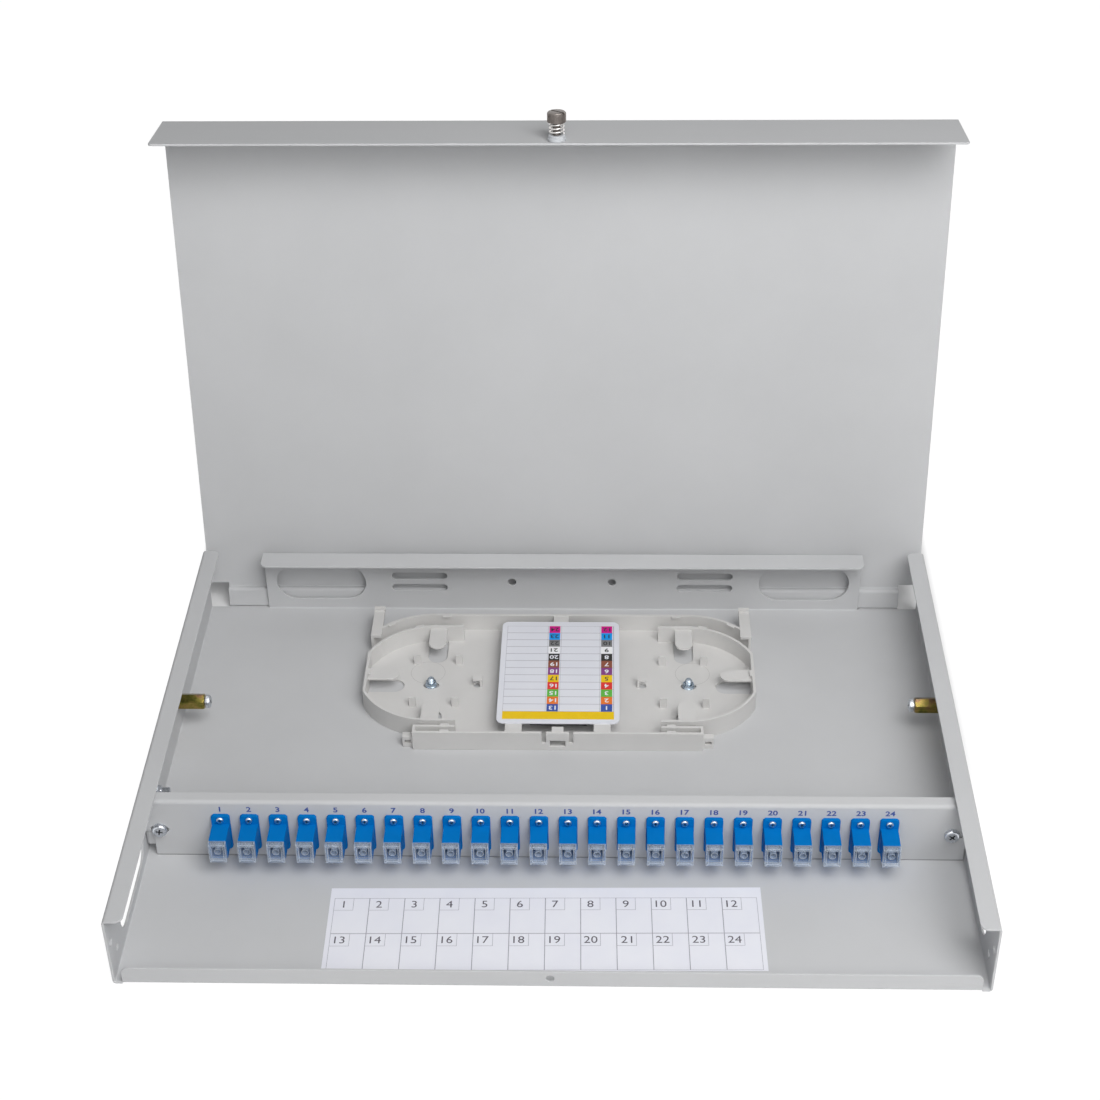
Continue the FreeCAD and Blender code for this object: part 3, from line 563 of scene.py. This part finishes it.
def settle(objs, name, body, finish, stands=()):
    # join the copies, put the place into the mesh and hand the piece to its body
    startPiece()
    for obj in objs:
        obj.select_set(True)
    bpy.context.view_layer.objects.active = objs[0]
    bpy.ops.object.transform_apply(location=True, rotation=True, scale=True)
    if len(objs) > 1:
        bpy.ops.object.join()
    piece = bpy.context.view_layer.objects.active
    piece.name = name
    if finish:
        piece.data.materials.clear()
        piece.data.materials.append(finishes[finish])
    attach(piece, body)
    if stands:
        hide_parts(*stands)
    return piece


def facing(place, direction, turn=0):
    # matrix that puts a piece's z along a direction, with its base at a place
    tilt = Vector((0, 0, 1)).rotation_difference(Vector(direction)).to_matrix().to_4x4()
    return Matrix.Translation(place) @ tilt @ Matrix.Rotation(math.radians(turn), 4, "Z")


def boxMiddle(name):
    low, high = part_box(name)
    return (low + high) / 2


# sheet and mouldings: copies of the solids with eased edges, as paint, tumbling or a mould leaves them
easeSettings = {"merge": 2e-6, "flatAngle": 0.4, "sharpAngle": 30, "segments": 2, "smooth": 20, "weight": 100}
edgeSettings = {
    "tray": {"width": 0.22, "finish": "powderCoat", "body": "tray", "slot": "powder_coat"},
    "cover": {"width": 0.22, "finish": "powderCoat", "body": "cover", "slot": "powder_coat"},
    "adapter_plate": {"width": 0.22, "finish": "plateCoatFootShade", "body": "tray", "slot": "powder_coat"},
    "splice_tray": {"width": 0.2, "finish": "splicePlastic", "body": "tray", "slot": "splice_plastic"},
    "splice_holder": {"width": 0.15, "finish": "blackPlastic", "body": "tray", "slot": "black_plastic"},
    "screw_ferrule": {"width": 0.35, "finish": "paleMetal", "body": "cover", "slot": "pale_metal"},
    "wall_standoffs": {"width": 0.12, "finish": "yellowZinc", "body": "tray", "slot": "yellow_zinc"},
}
adapterEdge = {
    "width": 0.16, "finish": "adapterBlue", "body": "tray", "slot": "adapter_plastic",
    "holeSpread": 18.0, "holeReach": 2.5,   # the screw holes' rims stay sharp within this reach
}
adapterSpots = [boxMiddle(name) for name in adapterNames]


def nearScrew(middle, settings):
    reach, rise = settings["holeReach"] * mm, settings["holeSpread"] / 2 * mm
    return any(abs(middle.x - spot.x) <= reach and abs(abs(middle.z - spot.z) - rise) <= reach
               for spot in adapterSpots)


def easedCopy(name, settings):
    startPiece()
    piece = bpy.data.objects.new(name + "Eased", nodes[name].data.copy())
    scene.collection.objects.link(piece)
    piece.matrix_world = nodes[name].matrix_world
    piece.select_set(True)
    sharp = math.radians(easeSettings["sharpAngle"])
    editMode(piece)
    bpy.ops.mesh.select_all(action="SELECT")
    bpy.ops.mesh.remove_doubles(threshold=easeSettings["merge"])
    bpy.ops.mesh.dissolve_limited(angle_limit=math.radians(easeSettings["flatAngle"]))
    bpy.ops.mesh.normals_make_consistent(inside=False)
    bpy.ops.mesh.select_mode(type="EDGE")
    pickEdges(piece, lambda edge, middle: edge.is_manifold and edge.is_convex and edge.calc_face_angle() > sharp
              and not ("holeReach" in settings and nearScrew(middle, settings)))
    bpy.ops.mesh.bevel(offset=settings["width"] * mm, segments=easeSettings["segments"], affect="EDGES",
                       clamp_overlap=False)
    objectMode()
    smoothByAngle(piece, easeSettings["smooth"])
    applyModifier(piece, "WEIGHTED_NORMAL", mode="FACE_AREA", weight=easeSettings["weight"], keep_sharp=True)
    return piece


edgeSettings.update((name, adapterEdge) for name in adapterNames)
for name, settings in edgeSettings.items():
    settle([easedCopy(name, settings)], name + "Eased", settings["body"], settings["finish"],
           [name])
print("edges eased")

# clear dust caps: a hood outside the port and a hollow plug inside it
capSettings = {
    "width": 8.9, "height": 12.2, "hood": 3.2, "plug": 7.5, "inset": 0.9, "wall": 0.7, "round": 0.24,
    "rimShare": 0.55, "tubeRadius": 1.9, "tubeWall": 0.24, "tubeLength": 8.6, "tubeBore": 0.6, "tubeSides": 24,
    "smooth": 30, "finishes": ("clearPlastic", "clearEdgeHighlight"),
}


def dustCap(settings):
    # the port's mouth is z = 0, the hood stands above it
    hood = settings["hood"] * mm
    floorZ = (settings["wall"] - settings["plug"]) * mm
    half = (settings["width"] / 2 * mm, settings["height"] / 2 * mm)
    cap = addBlock((settings["width"] * mm, settings["height"] * mm, hood), hood / 2)
    length = settings["tubeLength"] * mm
    tube = addCylinder(settings["tubeSides"], settings["tubeRadius"] * mm, floorZ, floorZ + length)
    for finish in settings["finishes"]:
        cap.data.materials.append(finishes[finish])
        tube.data.materials.append(finishes[finish])
    startPiece()
    editMode(cap)
    pickTop(cap)
    bpy.ops.mesh.inset(thickness=(settings["inset"] + settings["wall"]) * mm)
    raiseBy(floorZ - hood)
    pickUnder(cap)
    bpy.ops.mesh.inset(thickness=settings["inset"] * mm)
    raiseBy(-settings["plug"] * mm)
    bpy.ops.mesh.select_mode(type="EDGE")
    pickEdges(cap, lambda edge, middle: all(vert.co.z > -hair for vert in edge.verts)
              and max(abs(middle.x) / half[0], abs(middle.y) / half[1]) > settings["rimShare"])
    # the rims take the second finish, a painted highlight
    bpy.ops.mesh.bevel(offset=settings["round"] * mm, segments=2, affect="EDGES", material=1)
    pickEdges(cap, lambda edge, middle: atHeight(edge, floorZ))
    bpy.ops.mesh.bevel(offset=settings["round"] * mm, segments=1, affect="EDGES", material=1)
    objectMode()
    startPiece()
    editMode(tube)
    pickTop(tube)
    bpy.ops.mesh.inset(thickness=settings["tubeWall"] * mm)
    raiseBy(-length * settings["tubeBore"])
    objectMode()
    # the tube's open end takes the painted highlight finish, the rest the clear one
    for face in tube.data.polygons:
        face.material_index = 1 if face.normal.z > 0.9 and len(face.vertices) == 4 else 0
    joinTo(cap, tube)
    smoothByAngle(cap, settings["smooth"])
    return cap


cap = dustCap(capSettings)
for name, end, direction in (("front_dust_caps", 0, (0, -1, 0)), ("rear_dust_caps", 1, (0, 1, 0))):
    copies = []
    for adapter in adapterNames:
        mouth = boxMiddle(adapter)
        mouth.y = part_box(adapter)[end].y
        copies.append(copyAt(cap, facing(mouth, direction)))
    settle(copies, name + "Clear", "tray", None, [name])
bpy.data.objects.remove(cap)
print("dust caps modelled")

# screw heads with a cross recess; "turn" sets the recesses at different angles, in degrees
crossSettings = {
    "steps": 5, "profile": 0.62, "taper": 0.6, "reach": 0.52, "skin": 0.04, "smooth": 40,
    "shankSides": 24, "shankEnd": 0.3, "finishes": ("zinc", "recessShadeZinc"),
}
headSettings = {
    "plateScrew": {"radius": 4.0, "height": 2.4, "dome": 1.5, "cross": 4.6, "slit": 1.0, "deep": 1.3,
                   "sides": 32, "shank": (2.0, 8.0), "turn": (20, 30)},
    "adapterScrew": {"radius": 1.9, "height": 1.2, "dome": 0.8, "cross": 2.3, "slit": 0.55, "deep": 0.7,
                     "sides": 20, "spread": 18.0, "turn": (47, 19)},
    "standoffScrew": {"radius": 3.75, "height": 2.4, "dome": 1.5, "cross": 4.2, "slit": 1.0, "deep": 1.3,
                      "sides": 32, "shank": (1.6, 8.8), "turn": (33, 12)},
}


def crossHead(settings):
    # stands on z = 0 and points up, with any shank below
    height = settings["height"] * mm
    head = addCylinder(settings["sides"], settings["radius"] * mm, 0, height)
    editMode(head, "EDGE")
    pickEdges(head, lambda edge, middle: atHeight(edge, height))
    bpy.ops.mesh.bevel(offset=settings["dome"] * mm, segments=crossSettings["steps"],
                       profile=crossSettings["profile"], affect="EDGES")
    objectMode()
    for angle in (0, 90):
        cutter = addBlock((settings["cross"] * mm, settings["slit"] * mm, settings["deep"] * 2 * mm),
                          height, angle)
        editMode(cutter)
        pickUnder(cutter)
        bpy.ops.transform.resize(value=(crossSettings["taper"], crossSettings["taper"], 1))
        objectMode()
        carve(head, cutter)
    for finish in crossSettings["finishes"]:
        head.data.materials.append(finishes[finish])
    reach, skin = settings["cross"] * crossSettings["reach"] * mm, crossSettings["skin"] * mm
    # faces inside the cross take the darker finish, painted shade in the recess
    for face in head.data.polygons:
        inCross = math.hypot(face.center.x, face.center.y) < reach
        face.material_index = 1 if inCross and 0 < face.center.z < height - skin else 0
    if "shank" in settings:
        radius, length = (part * mm for part in settings["shank"])
        rod = addCylinder(crossSettings["shankSides"], radius, -length, 0)
        editMode(rod, "EDGE")
        pickEdges(rod, lambda edge, middle: atHeight(edge, -length))
        bpy.ops.mesh.bevel(offset=crossSettings["shankEnd"] * mm, segments=1, affect="EDGES")
        objectMode()
        joinTo(head, rod)
    smoothByAngle(head, crossSettings["smooth"])
    return head


def setHeads(settings, spots, name, node):
    # copies of one head, each at its place with a direction and a turn
    head = crossHead(settings)
    copies = [copyAt(head, facing(*spot)) for spot in spots]
    bpy.data.objects.remove(head)
    settle(copies, name, "tray", None, [node])


plate = headSettings["plateScrew"]
plateLow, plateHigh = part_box("plate_screws")
seatX = plateHigh.x - plate["radius"] * mm
seatY = plateLow.y + plate["height"] * mm
seatZ = (plateLow.z + plateHigh.z) / 2
setHeads(plate, [(Vector((side * seatX, seatY, seatZ)), (0, -1, 0), plate["turn"][0] + plate["turn"][1] * side)
                 for side in (-1, 1)], "plateScrewHeads", "plate_screws")

small = headSettings["adapterScrew"]
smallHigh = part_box("adapter_screws")[1]
spots = []
for index, spot in enumerate(adapterSpots):
    for sign in (1, -1):
        seat = Vector((spot.x, smallHigh.y, spot.z + sign * small["spread"] / 2 * mm))
        spots.append((seat, (0, -1, 0), (index * small["turn"][0] + sign * small["turn"][1]) % 90))
setHeads(small, spots, "adapterScrewHeads", "adapter_screws")

off = headSettings["standoffScrew"]
offLow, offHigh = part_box("standoff_screws")
offX = offHigh.x - off["shank"][1] * mm
offY, offZ = (offLow.y + offHigh.y) / 2, (offLow.z + offHigh.z) / 2
setHeads(off, [(Vector((side * offX, offY, offZ)), (-side, 0, 0), off["turn"][0] + off["turn"][1] * side)
               for side in (-1, 1)], "standoffScrewHeads", "standoff_screws")
print("screw heads modelled")

# studs with a thread, and flanged nuts
studSettings = {"radius": 2.0, "depth": 0.24, "pitch": 0.7, "sides": 20, "end": 0.5, "taper": 0.8, "smooth": 25}
nutSettings = {
    "flats": 5.8, "height": 2.4, "flange": 3.5, "flangeHeight": 0.8, "flangeSides": 36, "round": 0.35,
    "top": ((0.3, 0.12), (0.2, -0.5)), "corner": 0.12, "smooth": 30, "turn": (12, 9),
}


def threadedStud(settings, length):
    # ridges stacked up from z = 0
    startPiece()
    root = settings["radius"] - settings["depth"]
    bpy.ops.mesh.primitive_circle_add(vertices=settings["sides"], radius=root * mm, fill_type="NGON")
    stud = bpy.context.object
    editMode(stud)
    bpy.ops.mesh.select_all(action="SELECT")
    ridges = int((length / mm - settings["end"]) / settings["pitch"])
    rise = (length - settings["end"] * mm) / ridges / 2
    grow = settings["radius"] / root
    for factor in (grow, 1 / grow) * ridges:
        raiseBy(rise)
        bpy.ops.transform.resize(value=(factor, factor, 1))
    raiseBy(settings["end"] * mm)
    bpy.ops.transform.resize(value=(settings["taper"], settings["taper"], 1))
    bpy.ops.mesh.select_all(action="SELECT")
    bpy.ops.mesh.normals_make_consistent(inside=False)
    objectMode()
    smoothByAngle(stud, settings["smooth"])
    return stud


def flangedNut(settings):
    # hexagon on a round flange, with a raised and sunk top
    nut = addCylinder(6, settings["flats"] / math.sqrt(3) * mm, 0, settings["height"] * mm)
    editMode(nut)
    pickTop(nut)
    for inset, rise in settings["top"]:
        bpy.ops.mesh.inset(thickness=inset * mm)
        raiseBy(rise * mm)
    bpy.ops.mesh.select_mode(type="EDGE")
    pickEdges(nut, lambda edge, middle: abs(edge.verts[0].co.z - edge.verts[1].co.z) > mm)   # the six corners
    bpy.ops.mesh.bevel(offset=settings["corner"] * mm, segments=2, affect="EDGES")
    objectMode()
    flangeTop = settings["flangeHeight"] * mm
    flange = addCylinder(settings["flangeSides"], settings["flange"] * mm, 0, flangeTop)
    editMode(flange, "EDGE")
    pickEdges(flange, lambda edge, middle: atHeight(edge, flangeTop))
    bpy.ops.mesh.bevel(offset=settings["round"] * mm, segments=3, affect="EDGES")
    objectMode()
    joinTo(nut, flange)
    smoothByAngle(nut, settings["smooth"])
    return nut


studLow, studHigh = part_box("splice_studs")
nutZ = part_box("splice_nuts")[0].z
stud = threadedStud(studSettings, studHigh.z - studLow.z)
nut = flangedNut(nutSettings)
studX = studHigh.x - studSettings["radius"] * mm
studY = (studLow.y + studHigh.y) / 2
studs, nuts = [], []
for side in (-1, 1):
    turn = nutSettings["turn"][0] + nutSettings["turn"][1] * side
    studs.append(copyAt(stud, facing(Vector((side * studX, studY, studLow.z)), (0, 0, 1))))
    nuts.append(copyAt(nut, facing(Vector((side * studX, studY, nutZ)), (0, 0, 1), turn)))
bpy.data.objects.remove(stud)
bpy.data.objects.remove(nut)
settle(studs, "spliceStudThreads", "tray", "blueZinc", ["splice_studs"])
settle(nuts, "spliceNutsFlanged", "tray", "blueZinc", ["splice_nuts"])
print("studs and nuts modelled")

# ring marks of the ejectors on the splice tray's floor, drawn as a darker line: painted shade of a fine groove
markSettings = {
    "places": [(-76.9, 87.0), (76.9, 87.0)], "height": 2.82,   # mm, just above the floor
    "radius": 10.0, "line": 0.22, "sides": 72,
}


def ringMark(settings):
    startPiece()
    bpy.ops.mesh.primitive_circle_add(vertices=settings["sides"], radius=settings["radius"] * mm,
                                      fill_type="NGON")
    ring = bpy.context.object
    editMode(ring)
    bpy.ops.mesh.select_all(action="SELECT")
    bpy.ops.mesh.inset(thickness=settings["line"] * mm)
    bpy.ops.mesh.delete(type="FACE")
    objectMode()
    return ring


ring = ringMark(markSettings)
copies = [copyAt(ring, Matrix.Translation(Vector((*place, markSettings["height"])) * mm))
          for place in markSettings["places"]]
bpy.data.objects.remove(ring)
settle(copies, "mouldMarks", "tray", "mouldGrooveShade")
print("mould marks drawn")

# captive screw: knurled head, shank and coil spring along the joint's own line
screwSeat = Vector(joints["screw_turn"]["pos_m"])
screwLine = Vector(joints["screw_turn"]["axis"])
captiveSettings = {
    "headRadius": 5.0, "headBottom": 10.0, "headHeight": 5.5, "ridges": 36, "knurl": 0.28, "ridgeEase": 0.08,
    "round": 0.7, "slot": 1.2, "slotLength": 12.0, "slotAngle": -38, "shankRadius": 2.0, "shankBottom": -1.1,
    "grooveRadius": 1.7, "groove": (1.6, 2.4), "smooth": 30,
}
springSettings = {
    "base": 3.25, "length": 6.7, "radius": 3.7, "wire": 0.9, "sides": 12, "turns": 3, "steps": 40,
    "press": 2.8, "merge": 1e-7, "smooth": 50,
}


def captiveScrew(settings):
    low, high = settings["headBottom"] * mm, (settings["headBottom"] + settings["headHeight"]) * mm
    core = settings["headRadius"] - settings["knurl"]
    head = addCylinder(settings["ridges"] * 2, core * mm, low, high)
    editMode(head, "EDGE")
    pickEdges(head, lambda edge, middle: atHeight(edge, high))
    bpy.ops.mesh.bevel(offset=settings["round"] * mm, segments=3, affect="EDGES")
    # every other upright face round the head becomes a ridge
    bpy.ops.mesh.select_mode(type="FACE")
    sides = []
    shape = bmesh.from_edit_mesh(head.data)
    for face in shape.faces:
        if abs(face.normal.z) < 0.1:
            middle = face.calc_center_median()
            sides.append((math.atan2(middle.y, middle.x), face))
    sides.sort(key=lambda pair: pair[0])
    bpy.ops.mesh.select_all(action="DESELECT")
    for angle, face in sides[::2]:
        face.select_set(True)
    bmesh.update_edit_mesh(head.data)
    bpy.ops.mesh.inset(thickness=settings["ridgeEase"] * mm, depth=settings["knurl"] * mm, use_individual=True)
    # shank with a groove for the ring, drawn down from the underside
    pickUnder(head)
    bpy.ops.mesh.inset(thickness=(core - settings["shankRadius"]) * mm)
    raiseBy((settings["groove"][1] - settings["headBottom"]) * mm)
    bpy.ops.mesh.inset(thickness=(settings["shankRadius"] - settings["grooveRadius"]) * mm)
    raiseBy((settings["groove"][0] - settings["groove"][1]) * mm)
    raiseBy(0)
    grow = settings["shankRadius"] / settings["grooveRadius"]
    bpy.ops.transform.resize(value=(grow, grow, 1))
    raiseBy((settings["shankBottom"] - settings["groove"][0]) * mm)
    objectMode()
    carve(head, addBlock((settings["slotLength"] * mm, settings["slot"] * mm, settings["slot"] * 2 * mm),
                         high, settings["slotAngle"]))
    smoothByAngle(head, settings["smooth"])
    head.matrix_world = facing(screwSeat, screwLine)
    settle([head], "captiveScrew", "thumb_screw", "darkNickel", ["thumb_screw"])


def coilSpring(settings):
    startPiece()
    start = (settings["radius"] * mm, 0, (settings["base"] + settings["wire"] / 2) * mm)
    bpy.ops.mesh.primitive_circle_add(vertices=settings["sides"], radius=settings["wire"] / 2 * mm,
                                      fill_type="NOTHING", location=start, rotation=(math.pi / 2, 0, 0))
    coil = bpy.context.object
    bpy.ops.object.transform_apply(location=True, rotation=True)
    rise = settings["length"] - settings["wire"]
    applyModifier(coil, "SCREW", axis="Z", angle=2 * math.pi, screw_offset=rise / settings["turns"] * mm,
                  iterations=settings["turns"], steps=settings["steps"], render_steps=settings["steps"],
                  use_merge_vertices=True, merge_threshold=settings["merge"])
    editMode(coil, "EDGE")
    bpy.ops.mesh.select_non_manifold()
    bpy.ops.mesh.edge_face_add()
    bpy.ops.mesh.select_all(action="SELECT")
    bpy.ops.mesh.normals_make_consistent(inside=False)
    objectMode()
    smoothByAngle(coil, settings["smooth"])
    coil.matrix_world = facing(screwSeat, screwLine)
    piece = settle([coil], "coilSpring", "cover", "springSteel", ["screw_spring"])
    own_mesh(piece)


captiveScrew(captiveSettings)
coilSpring(springSettings)
print("captive screw modelled")

# print on the plate, the index label and the card
inkSettings = {
    "inkBlue": (0.045, 0.085, 0.31), "inkGrey": (0.10, 0.09, 0.11), "inkRule": (0.34, 0.33, 0.38),
    "inkWhite": (0.82, 0.83, 0.88), "inkBlack": (0.03, 0.03, 0.032),
    "fieldBlue": (0.035, 0.085, 0.37), "fieldOrange": (0.80, 0.18, 0.02), "fieldGreen": (0.11, 0.46, 0.055),
    "fieldRed": (0.70, 0.03, 0.025), "fieldYellow": (0.83, 0.55, 0.0), "fieldViolet": (0.23, 0.045, 0.23),
    "fieldBrown": (0.25, 0.075, 0.04), "fieldBlack": (0.022, 0.02, 0.019), "fieldWhite": (0.86, 0.86, 0.88),
    "fieldGrey": (0.19, 0.19, 0.195), "fieldSky": (0.0, 0.30, 0.78), "fieldMagenta": (0.63, 0.0, 0.24),
}
inkFinish = {
    "gloss": (0.4, 0.55), "fine": 2500, "patch": 300, "coarse": 0.5, "bump": 0.04, "depth": 0.00001,
    "specular": 0.35,
}
inkGain, inkLift = 1.06, 0.004   # from an ink's darker shade to its lighter one
for name, colour in inkSettings.items():
    lighter = tuple(min(1.0, part * inkGain + inkLift) for part in colour)
    finishes[name] = makeFinish(name, {**inkFinish, "shades": [colour, lighter]})


def numeral(text, settings, place, turn=0, tilt=None):
    # flat numeral, its middle at a place in mm
    startPiece()
    bpy.ops.object.text_add()
    words = bpy.context.object
    words.data.body = str(text)
    words.data.align_x = "CENTER"
    words.data.align_y = "CENTER"
    words.data.size = settings["numeral"] * mm
    words.data.offset = settings["weight"] * settings["numeral"] * mm
    words.data.resolution_u = 3   # steps on a curve
    bpy.ops.object.convert(target="MESH")
    mesh = bpy.context.object
    low = Vector([min(vert.co[axis] for vert in mesh.data.vertices) for axis in range(3)])
    high = Vector([max(vert.co[axis] for vert in mesh.data.vertices) for axis in range(3)])
    mesh.data.transform(Matrix.Translation(-(low + high) / 2))
    spin = Matrix.Rotation(math.radians(turn), 4, "Z")
    if tilt:
        spin = tilt @ spin
    widen = Matrix.Diagonal((settings["widen"], 1, 1, 1))
    mesh.matrix_world = Matrix.Translation(Vector(place) * mm) @ spin @ widen
    return mesh


portSettings = {"numeral": 4.6, "height": 33.85, "lift": 0.04, "widen": 1.12, "weight": 0.026}
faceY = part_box("adapter_plate")[0].y / mm - portSettings["lift"]
standUp = Matrix.Rotation(math.radians(90), 4, "X")
ports = [numeral(index, portSettings, (spot.x / mm, faceY, portSettings["height"]), tilt=standUp)
         for index, spot in enumerate(adapterSpots, 1)]
settle(ports, "portNumbers", "tray", "inkBlue")
print("port numbers printed")


def ruled(width, length, columns, rows, line, place, turn=0):
    # ruled grid: every cell is inset by half a line and its middle taken out
    grid = addGrid(columns, rows, width, length)
    editMode(grid)
    bpy.ops.mesh.select_all(action="SELECT")
    bpy.ops.mesh.inset(thickness=line / 2 * mm, use_individual=True)
    bpy.ops.mesh.delete(type="FACE")
    objectMode()
    grid.matrix_world = Matrix.Translation(Vector(place) * mm) @ Matrix.Rotation(math.radians(turn), 4, "Z")
    return grid


indexSettings = {
    "middle": (-3.5, -114.0), "turn": 0.8, "size": (220.4, 57.0), "heading": 7.2, "margin": (2.3, 0.6),
    "columns": 12, "rows": 2, "line": 0.42, "box": (0.555, 0.345), "numeral": 6.7, "widen": 1.08,
    "weight": 0.0, "lift": 0.03, "boxLift": 0.01,
}


def indexPrint(settings):
    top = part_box("index_label")[1].z / mm + settings["lift"]
    columns, rows, turn = settings["columns"], settings["rows"], settings["turn"]
    width = settings["size"][0] - 2 * settings["margin"][0]
    length = settings["size"][1] - settings["heading"] - settings["margin"][1]
    drop = (settings["margin"][1] - settings["heading"]) / 2
    turned = Matrix.Rotation(math.radians(turn), 2)
    middle = Vector(settings["middle"])

    def onLabel(x, y, lift=0):
        spot = middle + turned @ Vector((x, y + drop))
        return (spot.x, spot.y, top + lift)

    lines = [ruled(width, length, columns, rows, settings["line"], onLabel(0, 0), turn)]
    cell = (width / columns, length / rows)
    box = (cell[0] * settings["box"][0], cell[1] * settings["box"][1])
    numerals = []
    for index in range(columns * rows):
        left = -width / 2 + cell[0] * (index % columns)
        rear = length / 2 - cell[1] * (index // columns)
        spot = onLabel(left + box[0] / 2, rear - box[1] / 2, settings["boxLift"])
        lines.append(ruled(box[0], box[1], 1, 1, settings["line"], spot, turn))
        numerals.append(numeral(index + 1, settings, spot, turn))
    settle(lines, "indexRules", "tray", "inkRule")
    settle(numerals, "indexNumbers", "tray", "inkGrey")


indexPrint(indexSettings)
print("index label printed")

cardSettings = {
    "rows": (10.2, 87.9), "bar": (3.6, 10.2), "barCells": 8, "width": 62.6, "fieldWidth": 6.4,
    "frameWidth": 8.0, "fields": {1: 27.1, 13: -3.4}, "line": 0.3, "numeral": 4.6, "widen": 1.12,
    "weight": 0.02, "turn": 180, "lift": 0.03, "frameLift": 0.01, "fieldLift": 0.02, "numeralLift": 0.04,
    "colours": ["fieldBlue", "fieldOrange", "fieldGreen", "fieldRed", "fieldYellow", "fieldViolet",
                "fieldBrown", "fieldBlack", "fieldWhite", "fieldGrey", "fieldSky", "fieldMagenta"],
    "darkOn": ["fieldYellow", "fieldWhite", "fieldGrey", "fieldSky", "fieldMagenta"],
}


def cardPrint(settings):
    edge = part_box("label_card")[0].y / mm
    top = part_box("label_card")[1].z / mm + settings["lift"]
    front, rear = (edge + step for step in settings["rows"])
    barFront, barRear = (edge + step for step in settings["bar"])
    rows, length, middleY = len(settings["colours"]), rear - front, (front + rear) / 2
    pitch = length / rows
    strip = addGrid(1, rows, settings["fieldWidth"], length)
    for colour in settings["colours"]:
        strip.data.materials.append(finishes[colour])
    for face in strip.data.polygons:
        face.material_index = int((face.center.y / mm + length / 2) / pitch)
    strips = [copyAt(strip, Matrix.Translation(Vector((x, middleY, top + settings["fieldLift"])) * mm))
              for x in settings["fields"].values()]
    bpy.data.objects.remove(strip)
    settle(strips, "cardFields", "tray", None)
    bar = addGrid(settings["barCells"], 1, settings["width"], barRear - barFront)
    bar.location = (0, (barFront + barRear) / 2 * mm, top * mm)
    settle([bar], "cardBar", "tray", "fieldYellow")
    rules = [ruled(settings["width"], length, 1, rows, settings["line"], (0, middleY, top))]
    for x in settings["fields"].values():
        rules.append(ruled(settings["frameWidth"], length, 1, 1, settings["line"],
                           (x, middleY, top + settings["frameLift"])))
    settle(rules, "cardRules", "tray", "inkRule")
    pale, dark = [], []
    for first, x in settings["fields"].items():
        for row, colour in enumerate(settings["colours"]):
            spot = (x, front + pitch * (row + 0.5), top + settings["numeralLift"])
            (dark if colour in settings["darkOn"] else pale).append(
                numeral(first + row, settings, spot, settings["turn"]))
    settle(pale, "cardNumbersPale", "tray", "inkWhite")
    settle(dark, "cardNumbersDark", "tray", "inkBlack")


cardPrint(cardSettings)
print("card printed")
